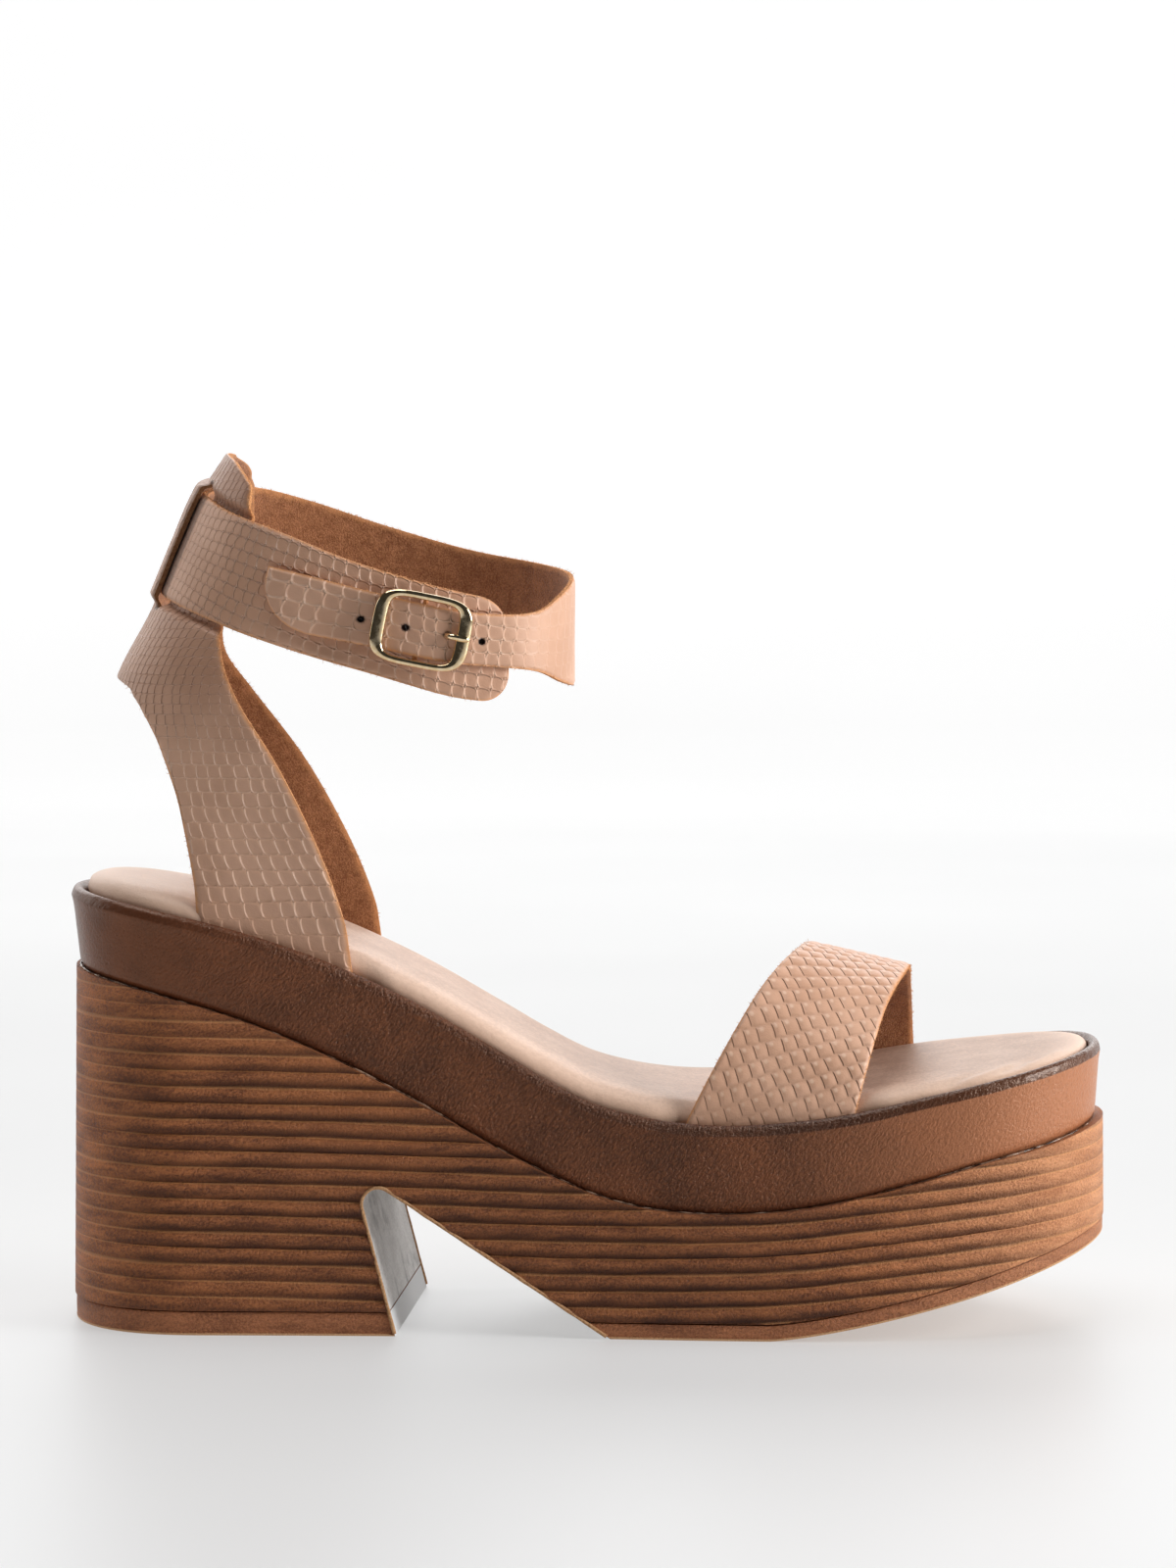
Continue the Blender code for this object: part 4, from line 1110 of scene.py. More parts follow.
def bandPoint(angle, share):
    angle = np.clip(angle, 0, 180)
    rear, front = [through(toeLook["band"], name, angle, "angle") for name in ("rear", "front")]
    x = rear + share * (front - rear)
    inset = standBack(x, leather["tuckInset"])
    outer, inner = planY(x, lateral) + inset, planY(x, medial) - inset
    c, s = np.cos(np.radians(angle)), np.abs(np.sin(np.radians(angle)))
    y = (outer + inner) / 2 - np.sign(c) * np.abs(c) ** (2 / toeLook["power"]) * (inner - outer) / 2
    base = rim(x) - leather["tuckDepth"]
    high, low = toeLook["top"]
    top = high + share * (low - high) - leather["thick"] / 2
    return np.stack([x, y, base + (top - base) * s ** (2 / toeLook["power"])], 1)


def bandSteps():  # angles at even steps along the middle of the band
    angle = np.linspace(0, 180, 4000)
    middle = bandPoint(angle, np.full_like(angle, 0.5))
    return running(lengths(middle)), angle


bandAlong, bandAngle = bandSteps()


def toePlace(s, t):
    along = s * bandAlong[-1]
    angle = np.interp(along, bandAlong, bandAngle)
    point = bandPoint(angle, t)
    forward = bandPoint(angle + 0.4, t) - bandPoint(angle - 0.4, t)
    normal = unit(np.cross(bandPoint(angle, t + 0.01) - bandPoint(angle, t - 0.01), forward))
    width = np.linalg.norm(bandPoint(angle, np.ones_like(t)) - bandPoint(angle, np.zeros_like(t)), axis=1)
    across = point[:, 0] - toeLook["origin"]
    edge = np.minimum(t, 1 - t) * width
    tilt = toeLook["tilt"]
    u = (across * cos(tilt) + along * sin(tilt)) / toeLook["cell"][0] + 0.10 * ripple(across, along, 6.0)
    v = (along * cos(tilt) - across * sin(tilt)) / toeLook["cell"][1] + 0.12 * ripple(across, along, 8.0)
    strength = (0.9 + 0.25 * ripple(across, along, 15.0)) * fadeIn(*toeLook["quietEnd"], along)
    waves = 0.12 * ripple(across, along, 12.0)
    lean, none = -np.ones_like(along), np.zeros_like(along)
    tone, middle, wide = toeLook["paintedShade"]
    paintedShade = tone * np.exp(-((angle - middle) / wide) ** 2)
    return sheetOf(toeLook["net"], point, normal, edge, u, v, lean, strength, waves, none, paintedShade, none)


toeStrap = leatherSheet("toeStrap", toeLook["across"], toeLook["up"], toePlace,
                        (leatherGrain("toeGrain", grainLook, toeLook["net"]), flesh, rawEdge))
finishPiece(toeStrap, "toe_strap", "leather")


# Fibres on the cut edges

fibreLook = {"thick": 0.055, "short": 0.15, "long": 1.0, "bend": 0.55, "widths": (1.0, 0.8, 0.35)}
legShare = counterLook["rows"][0] / counterUp
nearMiddle = (sideColumns - 1) / counterAcross, sideColumns / counterAcross
fibres("strapFibres", strapPlace, [
    (0.03, 0.97, 0, 0, 0, 0.03, 1300), (0.03, 0.97, 1, 1, 0, -0.03, 2600),
], "ankle_strap", fibreTan, fibreLook)
fibres("counterFibres", counterPlace, [
    (0, 0, 0.03, 0.97, 0.02, 0, 800), (1, 1, 0.03, 0.97, -0.02, 0, 800),
    (nearMiddle[0], nearMiddle[0], 0.02, legShare * 0.9, -0.02, 0, 350),
    (nearMiddle[1], nearMiddle[1], 0.02, legShare * 0.9, 0.02, 0, 350),
], "heel_counter", fibreTan, fibreLook)
fibres("toeFibres", toePlace, [
    (0.02, 0.98, 0, 0, 0, 0.03, 600), (0.02, 0.98, 1, 1, 0, -0.03, 900),
], "toe_strap", fibreTan, fibreLook)
print("leather placed")


# Stacked block with its notch, and the rubber under it

def suede(name, look):  # ribbed stack, and the rubber with its pale line
    f = Finish(name, Roughness=0.6, IOR=1.38)
    rib, groove, fade, x = f.attribute("rib"), f.attribute("groove"), f.attribute("fade"), f.axis("X")
    stipple = f.noise(2100.0, 3.0, 0.65, f.stretched(0.7, 0.7, 1.0, radians(-25)))
    fleck = f.noise(330.0, 3.0, 0.6, f.stretched(0.25, 0.25, 1.3))
    patch = f.noise(60.0, 2.0, 0.5, f.stretched(0.5, 0.5, 1.0))
    # lighter towards the toe end: painted light where the side lamp falls there
    toe = f.span(x, 0.05, 0.12)
    dark, light = f.mix(toe, look["dark"], look["toeDark"]), f.mix(toe, look["light"], look["toeLight"])
    tone = f.mix(f.span(stipple * 0.55 + fleck * 0.45, 0.34, 0.66), dark, light)
    # darker along the middle of the block: painted shade where the side lamps reach least
    middle = f.span(x, -0.14, -0.045) * (1 - f.span(x, 0.03, 0.085))
    tone = f.mix(middle * look["middle"], tone, look["groove"])
    glow = f.span(x, -0.08, -0.058) * (1 - f.span(x, -0.048, -0.03)) * f.span(f.axis("Z"), 0.028, 0.045)
    tone = f.mix(glow * look["crest"] * 0.55, tone, look["light"])  # painted light on the crests above the notch
    # lower half of each rib darker: partly painted shade under the rib, partly the stack's own darker stain
    shaded = f.span(patch, 0.3, 0.65, (0.75, 1.0)) * look["shaded"] * (fade * 0.75 + 0.25)
    low = (1 - f.span(rib + fleck * 0.3 - 0.15, 0.0, 0.72)) * shaded
    tone = f.mix(low, tone, look["groove"])
    # lighter along the rib tops: partly wear, partly a painted highlight
    tone = f.mix(f.span(rib + fleck * 0.1, 0.88, 1.02) * look["crest"], tone, look["crestTone"])
    f.set(Base_Color=f.mix(groove * look["line"] * (fade * 0.6 + 0.4), tone, look["lineTone"]))
    f.set(Roughness=f.span(stipple, 0.3, 0.75, (0.42, 0.66)))
    f.bump(stipple * 0.55 + fleck * 0.15)
    return f.material


def breastSkin(name, look):  # pale smudged faces of the notch
    f = Finish(name, Roughness=0.3, IOR=1.5)
    fine = f.noise(1700.0, 3.0, 0.65)
    cloud = f.noise(140.0, 3.0, 0.6)
    tone = f.mix(f.span(fine * 0.6 + cloud * 0.4, 0.36, 0.66), look["dark"], look["light"])
    smudge = f.span(f.noise(90.0, 4.0, 0.65), 0.52, 0.72) * 0.55
    f.set(Base_Color=f.mix(smudge, tone, look["smudge"]))
    f.set(Roughness=f.span(fine, 0.3, 0.7, (0.52, 0.68)))
    f.bump(fine * 0.12 + cloud * 0.08)
    return f.material


stackFinish = suede("stackedSuede", {
    "dark": shade(124, 70, 40), "light": shade(206, 128, 76), "toeDark": shade(176, 112, 70),
    "toeLight": shade(218, 155, 110), "groove": shade(50, 25, 14), "shaded": 0.92, "middle": 0.34,
    "line": 0.9, "lineTone": shade(30, 15, 9), "crest": 0.55, "crestTone": shade(224, 158, 102),
})
rubberFinish = suede("treadRubber", {
    "dark": shade(138, 84, 54), "light": shade(196, 126, 84), "toeDark": shade(150, 94, 60),
    "toeLight": shade(192, 130, 90), "groove": shade(84, 48, 30), "shaded": 0.0, "middle": 0.1, "line": 0.9,
    "lineTone": shade(222, 174, 128), "crest": 0.0, "crestTone": shade(168, 106, 68),
})
breastFinish = breastSkin("breastGloss", {
    "dark": shade(196, 190, 186), "light": shade(228, 224, 220), "smudge": shade(96, 90, 86),
})
edgeTan = leatherRaw("edgeTan", shade(214, 168, 124), shade(170, 122, 82))

notchCutter = addPrism("notchCutter", sheared(notchProfile()), blockLook["cutHalf"],
                       blockLook["notch"]["skew"])
cutters = [notchCutter]


def breastFaces(thing, near=0.02):  # faces left by the notch take the second finish
    centres = np.zeros(len(thing.data.polygons) * 3)
    thing.data.polygons.foreach_get("center", centres)
    spots = centres.reshape(-1, 3) / mm - axisShift
    cut = blockLook["notch"]
    flat = np.stack([spots[:, 0] - cut["skew"] * (spots[:, 1] - cut["side"]), spots[:, 2]], 1)
    profile = notchProfile()
    far = np.full(len(flat), 1e9)
    for one, two in zip(profile, profile[1:]):
        step = two - one
        share = np.clip((flat - one) @ step / (step @ step), 0, 1)
        far = np.minimum(far, np.linalg.norm(flat - one - share[:, None] * step, axis=1))
    thing.data.polygons.foreach_set("material_index", (far < near).astype(int))


def sawn(name, profile):
    cutter = addPrism(name, profile, blockLook["cutHalf"])
    cutters.append(cutter)
    return cutter


soleBlock = ringSolid("soleBlock", stackRows(), blockLook["across"])
ribs = np.array(blockLook["ribSteps"])
ribRow = np.round(painted(soleBlock, "ringRow")).astype(int) % len(ribs)
paint(soleBlock, "groove", ribRow == 0)
paint(soleBlock, "rib", np.where(ribRow == 0, 1.0, ribs[ribRow]))
ribBase = blockLook["layer"] * painted(soleBlock, "ringRow") / len(ribs)
paint(soleBlock, "fade", ribFade(readPoints(soleBlock)[:, 0] / mm, ribBase))
soleBlock.data.materials.append(stackFinish)
soleBlock.data.materials.append(breastFinish)
cutWith(soleBlock, sawn("sideCutter", blockSide()), "INTERSECT")
cutWith(soleBlock, notchCutter, "DIFFERENCE")
breastFaces(soleBlock)
finishPiece(soleBlock, "sole_block", "block")

past = toeTip + 10
for name, node, thick, span in (
        ("heelTopPiece", "heel_top_piece", blockLook["topPiece"], (-past, blockLook["heelCut"])),
        ("forefootOutsole", "forefoot_outsole", blockLook["runner"], (blockLook["forefootCut"], past))):
    rubber = ringSolid(name, rubberRows(thick), blockLook["across"])
    paint(rubber, "groove", painted(rubber, "ringRow") < blockLook["edgeRows"])
    paint(rubber, "rib", np.ones(len(rubber.data.vertices)))
    paint(rubber, "fade", np.ones(len(rubber.data.vertices)))
    rubber.data.materials.append(rubberFinish)
    cutWith(rubber, sawn(name + "Cutter", boxProfile(*span)), "INTERSECT")
    cutWith(rubber, notchCutter, "DIFFERENCE")
    rubber.data.materials.append(breastFinish)
    breastFaces(rubber)
    finishPiece(rubber, node, "block")
for cutter in cutters:
    bpy.data.objects.remove(cutter)


def addTrim(name, paths, radius, finish, node, cyclic=False, sides=2):  # a bead or edge beside a piece
    thing = addWires(name, paths, radius, sides, "POLY", cyclic)
    editAll(thing, merge, facesOut)
    finishPiece(thing, node, "round", finish, standsFor=False)


edgeLook = {"radius": 0.4, "inset": 0.35, "start": 0.6, "steps": 160}


def notchEdge(side):  # tan edge of the side covering, round the mouth of the notch
    profile = notchProfile(40, -edgeLook["start"])
    run = running(lengths(profile))
    step = np.linspace(0, run[-1], edgeLook["steps"])
    x, z = np.interp(step, run, profile[:, 0]), np.interp(step, run, profile[:, 1])
    cut = blockLook["notch"]
    across = np.full_like(x, -side * cut["side"])
    for _ in range(4):  # settles on the leaning cut
        along = x + cut["skew"] * (across - cut["side"])
        across = planY(along, side) - side * (edgeLook["inset"] + blockLook["taper"] * z)
    return np.column_stack([along, across, z]), 1.0 + 0.2 * ripple(step, step, 4.0)


addTrim("notchEdge", [notchEdge(lateral), notchEdge(medial)], edgeLook["radius"], edgeTan, "sole_block")
print("block and rubber cut")


# Wrap of the platform

wrapLook = {
    "section": table("k inset rise drop flare", [
        (0, 2.6, 0.0, 0.0, 0.0), (1, 1.9, 0.06, 0.0, 0.06), (2, 1.5, 0.35, 0.0, 0.35),
        (3, 1.1, 0.70, 0.0, 0.70), (4, 0.8, 1.0, 2.4, 1.0), (5, 1.2, 1.0, 0.8, 0.75), (6, 2.2, 1.0, 0.0, 0.5),
        (7, 3.1, 1.0, 0.7, 0.25), (8, 3.4, 1.0, 1.6, 0.0), (9, 3.4, 1.0, 2.6, 0.0),
    ]),
    "rows": 54,
    "across": 760,
}


def wrapRow(k):
    inset, rise, drop, flare = [float(np.interp(k, wrapLook["section"]["k"], wrapLook["section"][name]))
                                if k < 1 or k > 8 else float(through(wrapLook["section"], name, k, "k"))
                                for name in ("inset", "rise", "drop", "flare")]
    rise = min(rise, 1.0)
    roll = ease(3.2, 4.2, k) * (1 - ease(7.0, 8.0, k))

    def depth(share):
        s = share * ringAlong[-1]
        x = outlineAt(share, np.zeros_like(share))[:, 0]
        toe, heel = ease(60, 105, x), ease(-85, -112, x)
        pucker = 0.10 * ripple(s, k * 1.4, 1.1) + 0.10 * ripple(s, k * 0.9, 2.6)
        wave = 0.12 * ripple(s, k * 4.0, 12.0)
        return standBack(x, inset, flare) + wave + pucker * roll * (0.35 + 0.5 * toe + 0.3 * heel)

    def height(x, share):
        return (blockTop(x) + soleForm["gap"]) * (1 - rise) + (rim(x) - drop) * rise

    return depth, height


def wrapSkin(name, look):
    f = Finish(name, Roughness=0.42, IOR=1.5, Specular_Tint=look["gloss"], Coat_Roughness=0.16)
    x, roll = f.axis("X"), f.attribute("roll")
    cloud = f.noise(48.0, 3.0, 0.6)
    fine = f.noise(2600.0, 2.0, 0.6)
    wrinkle = f.noise(1400.0, 2.0, 0.5, f.stretched(1.35, 1.0, 0.8, radians(38)), 0.3)
    broad = f.noise(420.0, 2.0, 0.5, f.stretched(1.2, 1.0, 0.7, radians(38)))
    middle = f.span(x, -0.105, -0.05) * (1 - f.span(x, 0.03, 0.085) * 0.8)
    tone = f.mix(f.span(cloud * 0.75 + fine * 0.25, 0.28, 0.72), look["dark"], look["light"])
    # painted highlight on the wrinkle crests
    tone = f.mix(f.span(wrinkle, 0.5, 0.72) * (middle * 0.13 + 0.03), tone, look["glint"])
    # lighter towards the toe: painted light where the side lamp falls on the toe end
    tone = f.mix(f.span(x, 0.03, 0.12), tone, look["toe"])
    # painted shade in the wrinkle troughs
    tone = f.mix((1 - f.span(wrinkle, 0.28, 0.52)) * (middle * 0.2 + 0.1), tone, look["troughShade"])
    burnt = f.span(roll + f.noise(170.0, 3.0) * 0.5, 0.6, 1.15) * f.span(x, -0.01, 0.06, (0.4, 0.85))
    f.set(Base_Color=f.mix(burnt, tone, look["burnt"]))
    gloss = burnt * f.span(x, 0.0, 0.06) * 0.25
    f.set(Coat_Weight=gloss * 0.8)
    f.set(Roughness=f.span(fine * 0.5 + wrinkle * 0.5 - gloss + middle * 0.25, 0.2, 0.85, (0.24, 0.44)))
    f.bump(wrinkle * (middle * 0.7 + 0.14) + broad * (middle * 0.1 + 0.06) + fine * 0.05)
    return f.material


wrapFinish = wrapSkin("wrapGrain", {
    "dark": shade(84, 47, 30), "light": shade(128, 75, 47), "toe": shade(178, 116, 80),
    "troughShade": shade(44, 24, 15), "glint": shade(204, 128, 80), "gloss": shade(255, 226, 204),
    "burnt": shade(58, 31, 21),
})
wrapEnd = wrapLook["section"]["k"][-1]
platformWrap = ringSolid("platformWrap", [wrapRow(k) for k in np.linspace(0, wrapEnd, wrapLook["rows"])],
                         wrapLook["across"])
wrapShare = painted(platformWrap, "ringRow") / (wrapLook["rows"] - 1) * wrapEnd
paint(platformWrap, "roll", np.maximum(ease(3.5, 4.4, wrapShare), 0.6 * (1 - ease(0.2, 1.2, wrapShare))))
finishPiece(platformWrap, "platform_wrap", "leather", wrapFinish)


def glueFinish(name):
    f = Finish(name, Roughness=0.2, IOR=1.5)
    f.set(Base_Color=f.mix(f.span(f.noise(500.0, 3.0), 0.35, 0.65), shade(46, 28, 20), shade(170, 138, 116)))
    f.bump(f.noise(1400.0) * 0.05)
    return f.material


glueLook = {"steps": 1500, "radius": 0.3, "inset": 1.95, "lift": 0.12}


def glueBead():  # broken thread of dried glue in the joint over the block
    steps = glueLook["steps"]
    share = (np.arange(steps) + 0.5) / steps
    s = share * ringAlong[-1]
    flat = outlineAt(share, standBack(outlineAt(share, np.zeros(steps))[:, 0], glueLook["inset"]))
    bead = np.clip(0.2 + 0.9 * ripple(s, s * 0.7, 2.2) + 0.6 * ripple(s, s * 0.3, 14.0), 0.1, 1.1)
    return np.column_stack([flat, blockTop(flat[:, 0]) + glueLook["lift"]]), bead


addTrim("glueBead", [glueBead()], glueLook["radius"], glueFinish("driedGlue"), "platform_wrap", True, 1)


# Footbed

footbedLook = {
    "section": table("k inset height", [
        (0, 4.6, 0.0), (1, 3.7, 0.24), (2, 3.9, 0.5), (3, 5.0, 0.72), (4, 7.6, 0.89), (5, 12.4, 0.98),
        (6, 18.0, 0.99),
    ]),
    "crown": table("x height", [
        (-120, 4.6), (-50, 5.4), (10, 5.4), (60, 4.2), (78, 3.0), (95, 1.8), (120, 1.5),
    ]),
    "press": (1.8, 9),
    "pressed": {lateral: ((-79, -53), (20.8, 59.3)), medial: ((-77, -50), (45.0, 78.4))},
    "rows": 34,
    "across": 700,
    "cuts": 46,
    "creases": (  # x, y, direction in degrees, half length, half width, height
        (84, -31, 32, 9, 1.6, -0.5), (91, -28, 36, 9, 1.5, 0.5), (98, -24, 42, 8, 1.4, -0.45),
        (104, -20, 48, 7, 1.3, 0.35),
    ),
}


def creased(x, y, creases):
    total = np.zeros_like(x)
    for atX, atY, turn, length, width, height in creases:
        dx, dy = x - atX, y - atY
        c, s = cos(radians(turn)), sin(radians(turn))
        run, off = dx * c + dy * s, dy * c - dx * s
        total = total + height * np.exp(-(off / width) ** 2 - (run / length) ** 4)
    return total


def footbedHeight(x, share):
    base = leather["tuckDepth"]
    return rim(x) - base + share * (base + through(footbedLook["crown"], "height", x))


def tucked(x, side):  # how far a strap's end presses the pad's edge in
    deep, soft = footbedLook["press"]
    return sum(deep * (ease(a - soft, a, x) - ease(b, b + soft, x)) for a, b in footbedLook["pressed"][side])


def footbedRow(k):
    inset, share = [float(through(footbedLook["section"], name, k, "k")) for name in ("inset", "height")]
    edge = 1 - ease(2.5, 5.0, k)

    def depth(ringShare):
        s = ringShare * ringAlong[-1]
        x = outlineAt(ringShare, np.zeros_like(ringShare))[:, 0]
        press = np.where(ringShare < 0.5, tucked(x, lateral), tucked(x, medial))
        pucker = 0.05 * ripple(s, k * 0.5, 1.3) * ease(0.2, 1.0, k) * (1 - ease(2.0, 3.2, k))
        wave = 0.25 * ripple(s, k * 0.3, 14.0)
        return standBack(x, inset) + (press + pucker + wave) * edge

    def height(x, ringShare):
        flat = outlineAt(ringShare, np.full_like(ringShare, inset))
        crease = creased(flat[:, 0], flat[:, 1], footbedLook["creases"])
        return footbedHeight(x, share) + crease * ease(1, 3, k)

    return depth, height


def padSkin(name, look):
    f = Finish(name, Roughness=0.5, IOR=1.42)
    cloud = f.noise(120.0, 3.0, 0.55)
    speck = f.noise(1100.0, 3.0, 0.75)
    dots = f.cells(700.0)
    side = f.attribute("side")
    tone = f.mix(f.span(cloud * 0.3 + speck * 0.8, 0.42, 0.7), look["dark"], look["light"])
    # lighter at the heel end: painted light where the counter and strap shade the pad
    tone = f.mix(f.span(f.axis("X"), -0.1, -0.06, (0.5, 0.0)), tone, look["heel"])
    # the pad's side wall: a warmer tone, and lighter as painted light where the wrap's lip shades it
    tone = f.mix(side * (0.75 + speck * 0.25), tone, look["side"])
    # painted highlight along the pad's shoulder
    tone = f.mix(side * (1 - side) * 1.1, tone, look["shoulderHighlight"])
    spots = (1 - f.span(dots, 0.04, 0.13)) * f.span(f.noise(240.0), 0.5, 0.68)
    f.set(Base_Color=f.mix(spots * 0.35, tone, look["spot"]))
    f.set(Roughness=f.span(speck, 0.3, 0.7, (0.4, 0.58)))
    f.bump(speck * 0.09 + f.noise(3200.0) * 0.03)
    return f.material


padFinish = padSkin("footbedSkin", {
    "dark": shade(174, 139, 118), "light": shade(206, 176, 156), "heel": shade(226, 198, 178),
    "side": shade(232, 194, 168), "shoulderHighlight": shade(244, 218, 200), "spot": shade(140, 96, 76),
})
padSteps = np.linspace(0, footbedLook["section"]["k"][-1], footbedLook["rows"])
footbed = ringSolid("footbedPad", [footbedRow(k) for k in padSteps], footbedLook["across"],
                    footbedLook["cuts"])
ringCount = footbedLook["across"] * footbedLook["rows"]
spots = readPoints(footbed) / mm - axisShift
inner = np.arange(len(spots)) >= ringCount
spots[inner, 2] = (footbedHeight(spots[inner, 0], float(footbedLook["section"]["height"][-1]))
                   + creased(spots[inner, 0], spots[inner, 1], footbedLook["creases"]))
setPoints(footbed, spots)
ringRow = np.where(inner, footbedLook["rows"], painted(footbed, "ringRow"))
paint(footbed, "side", 1 - ease(7, 30, ringRow))
finishPiece(footbed, "footbed", "round", padFinish)


# Buckle and prong

buckleLook = {
    "frame": (22.5, 16.8, 4.6),
    "window": (16.1, 13.6, 2.6),
    "thick": 1.9,
    "base": 0.5,
    "segments": (144, 24),
    "seat": 4.0,
    "bar": 0.6,
    "barSeat": 1.9,
    "prong": 0.72,
    "prongHole": 5.8,
}


def goldFinish(name):
    f = Finish(name, Metallic=1.0, Roughness=0.1)
    haze = f.noise(700.0, 3.0, 0.6)
    f.set(Base_Color=f.mix(f.span(haze, 0.3, 0.7), shade(230, 202, 156), shade(246, 226, 190)))
    f.set(Roughness=f.span(haze, 0.3, 0.75, (0.07, 0.16)))
    f.bump(haze * 0.003)
    return f.material


gold = goldFinish("paleGold")


def buckleFrame():  # origin and axes of the buckle: along the strap to the toe, across it, out
    along, z = np.array([buckleSpot["along"]]), np.array([buckleSpot["z"]])
    out = ankleNormal(along, z)[0]
    level = unit(anklePoint(along - 1, z) - anklePoint(along + 1, z))[0]
    toToe = np.array(Matrix.Rotation(buckleSpot["tilt"], 3, Vector(-out)) @ Vector(level))
    return anklePoint(along, z)[0], np.stack([toToe, np.cross(out, toToe), out])


buckleOrigin, buckleAxes = buckleFrame()


def roundedBox(turn, length, height, radius):  # point of a rounded rectangle for each angle round it
    c, s = np.cos(turn), np.sin(turn)
    power = 2 + 2.2 * (min(length, height) / 2 - radius) / radius
    reach = (np.abs(c) ** power + np.abs(s) ** power) ** (-1 / power)
    return np.stack([c * reach * length / 2, s * reach * height / 2], 1)


def addFrame(name):
    clearSelection()
    ringSteps, wireSteps = buckleLook["segments"]
    bpy.ops.mesh.primitive_torus_add(major_radius=1, minor_radius=0.25, major_segments=ringSteps,
                                     minor_segments=wireSteps)
    thing = named(name)
    spots = readPoints(thing)
    turn = np.arctan2(spots[:, 1], spots[:, 0])
    section = np.arctan2(spots[:, 2], np.hypot(spots[:, 0], spots[:, 1]) - 1)
    outer, inner = [roundedBox(turn, *buckleLook[part]) for part in ("frame", "window")]
    across = (np.sign(np.cos(section)) * np.abs(np.cos(section)) ** 0.6 + 1) / 2
    flat = inner + (outer - inner) * across[:, None]
    up = np.abs(np.sin(section))
    rise = np.where(np.sin(section) > 0, up ** 0.55, -0.35 * up ** 0.5)
    out = buckleLook["seat"] + buckleLook["base"] + rise * (buckleLook["thick"] - buckleLook["base"])
    setPoints(thing, buckleOrigin + np.column_stack([flat, out]) @ buckleAxes)
    return thing


def addRod(name, path, radius, tip=1.0):
    widths = np.append(np.ones(len(path) - 1), tip)
    thing = addWires(name, [(buckleOrigin + np.array(path) @ buckleAxes, widths)], radius, 5, "NURBS")
    editAll(thing, merge, facesOut)
    return thing


def wirePaths():
    side = (buckleLook["frame"][1] + buckleLook["window"][1]) / 4
    top, low = buckleLook["seat"] + 0.8, buckleLook["barSeat"]
    bar = [(0, -side, top), (0, -side, low + 0.4), (0, -side, low), (0, -side, low),
           (0, side, low), (0, side, low), (0, side, low + 0.4), (0, side, top)]
    hole, over = buckleLook["prongHole"], buckleLook["seat"] + buckleLook["thick"] + 0.75
    under = leather["thick"] / 2 + soleForm["gap"] + buckleLook["prong"]
    end = (buckleLook["frame"][0] + buckleLook["window"][0]) / 4
    prong = [(1.1, 0, under), (hole - 0.9, 0, under), (hole, 0, under + 0.9), (hole + 0.3, 0, over - 1.2),
             (hole + 0.9, 0, over - 0.1), (hole + 2.2, 0, over), (end + 0.4, 0, over - 0.1),
             (end + 1.0, 0, over - 0.35)]
    return bar, prong


barPath, prongPath = wirePaths()
buckle = addFrame("buckleFrame")
bar = addRod("buckleBar", barPath, buckleLook["bar"])
bar.data.materials.append(rawEdge)  # the strap's loop hides the bar
buckle.data.materials.append(gold)
pick(buckle)
bar.select_set(True)
bpy.ops.object.join()
editAll(buckle, facesOut)
finishPiece(buckle, "buckle_frame", "round")
prong = addRod("buckleProng", prongPath, buckleLook["prong"], 0.75)
finishPiece(prong, "buckle_prong", "round", gold)


# Studio: pale sweep, soft lights and the photo's camera

studio = {
    "floor": shade(155, 155, 155),
    "sweep": (-2.2, 1.6, 0.9, 2.6),  # front and back of the flat part, radius of the curve, height
    "half": 4.0,
    "glow": (0.39, ((-0.1, 0.2), 0.335), ((0.25, 1.2), 0.48), ((1.1, 2.3), 0.87)),  # by reach of y
    "lights": (  # name, place, target, size, power
        ("topLight", (-0.25, 0.0, 1.5), (0, 0, 0.05), (1.0, 0.9), 11),
        ("backLight", (0.0, 1.3, 0.9), (0, 0, 0.08), (2.2, 0.9), 12),
        ("rightLight", (1.2, -0.28, 0.5), (0, 0, 0.1), (0.7, 0.7), 19),
        ("leftLight", (-1.25, 0.35, 0.6), (0, 0, 0.1), (0.8, 0.8), 3),
    ),
    "air": 0.04,
    "camera": (-0.0005, -1.0092, 0.19275),
    "lookDown": 3.953,
    "lens": 100,
    "sensor": 36,
}


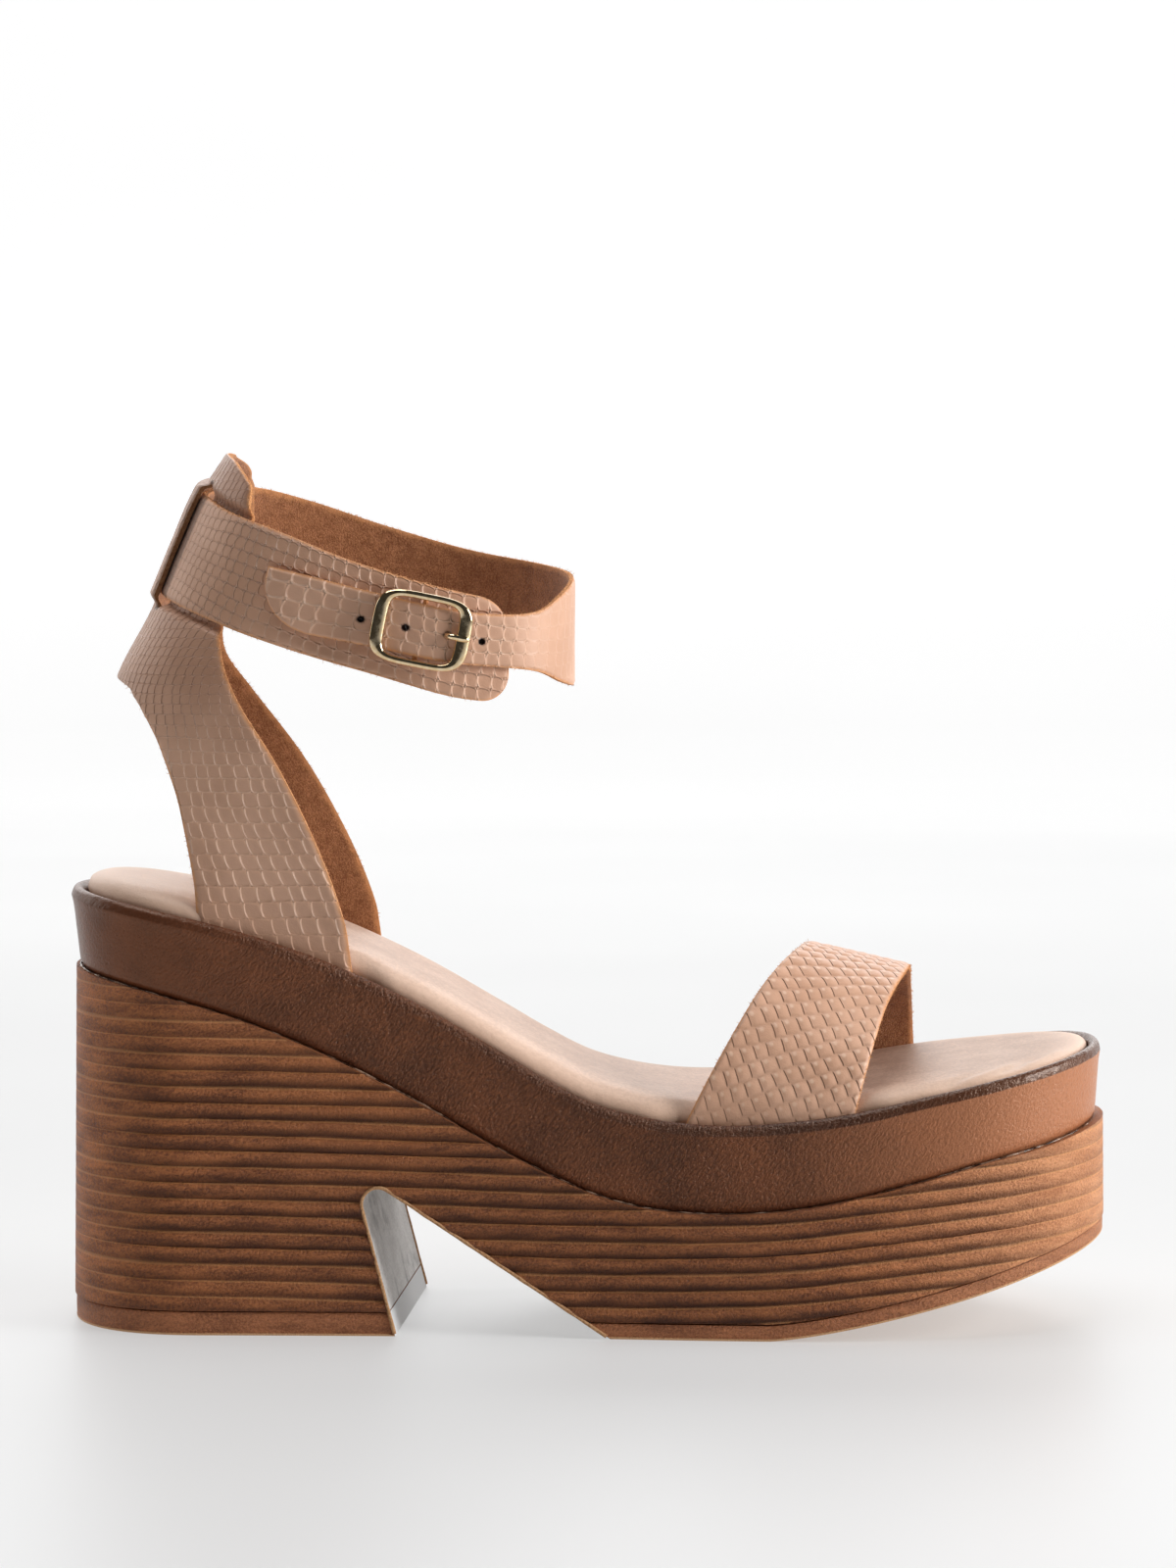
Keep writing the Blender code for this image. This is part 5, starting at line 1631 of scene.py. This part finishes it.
def addSweep(name):
    front, back, radius, high = studio["sweep"]
    clearSelection()
    bpy.ops.mesh.primitive_grid_add(x_subdivisions=8, y_subdivisions=60, size=1)
    thing = named(name)
    spots = readPoints(thing)
    run = (spots[:, 1] + 0.5) * (back - front + radius * pi / 2 + high - radius)
    turn = np.clip((run - (back - front)) / radius, 0, pi / 2)
    y = np.minimum(front + run, back) + radius * np.sin(turn)
    z = radius * (1 - np.cos(turn)) + np.clip(run - (back - front) - radius * pi / 2, 0, None)
    thing.data.vertices.foreach_set("co", np.stack([spots[:, 0] * 2 * studio["half"], y, z], 1).ravel())
    thing.data.update()
    smooth(thing, "round")
    return thing


def floorFinish(name):
    f = Finish(name, Roughness=0.45, IOR=1.35, Emission_Strength=1.0)
    f.set(Base_Color=f.mix(f.span(f.noise(3.0), 0.3, 0.7), shade(150, 150, 150), studio["floor"]))
    y = f.axis("Y")
    first, *changes = studio["glow"]
    glow = (first, first, first, 1)
    for reach, level in changes:
        glow = f.mix(f.span(y, *reach), glow, (level, level, level, 1))
    f.set(Emission_Color=glow)
    return f.material


def addLight(name, spot, target, size, power):
    clearSelection()
    bpy.ops.object.light_add(type="AREA", location=spot)
    lamp = named(name)
    lamp.data.shape = "RECTANGLE"
    lamp.data.size, lamp.data.size_y = size
    lamp.data.energy = power
    lamp.rotation_euler = (Vector(target) - Vector(spot)).to_track_quat("-Z", "Y").to_euler()


floor = addSweep("studioFloor")
floor.data.materials.append(floorFinish("paleFloor"))
for light in studio["lights"]:
    addLight(*light)

world = bpy.data.worlds.new("studioAir")
bpy.context.scene.world = world
world.use_nodes = True
air = world.node_tree.nodes["Background"].inputs
air["Color"].default_value = (1, 1, 1, 1)
air["Strength"].default_value = studio["air"]

clearSelection()
bpy.ops.object.camera_add(location=studio["camera"], rotation=(radians(90 - studio["lookDown"]), 0, 0))
camera = named("photoCamera")
camera.data.lens = studio["lens"]
camera.data.sensor_width = studio["sensor"]
bpy.context.scene.camera = camera
bpy.context.scene.view_settings.view_transform = "Standard"

print("scene ready")
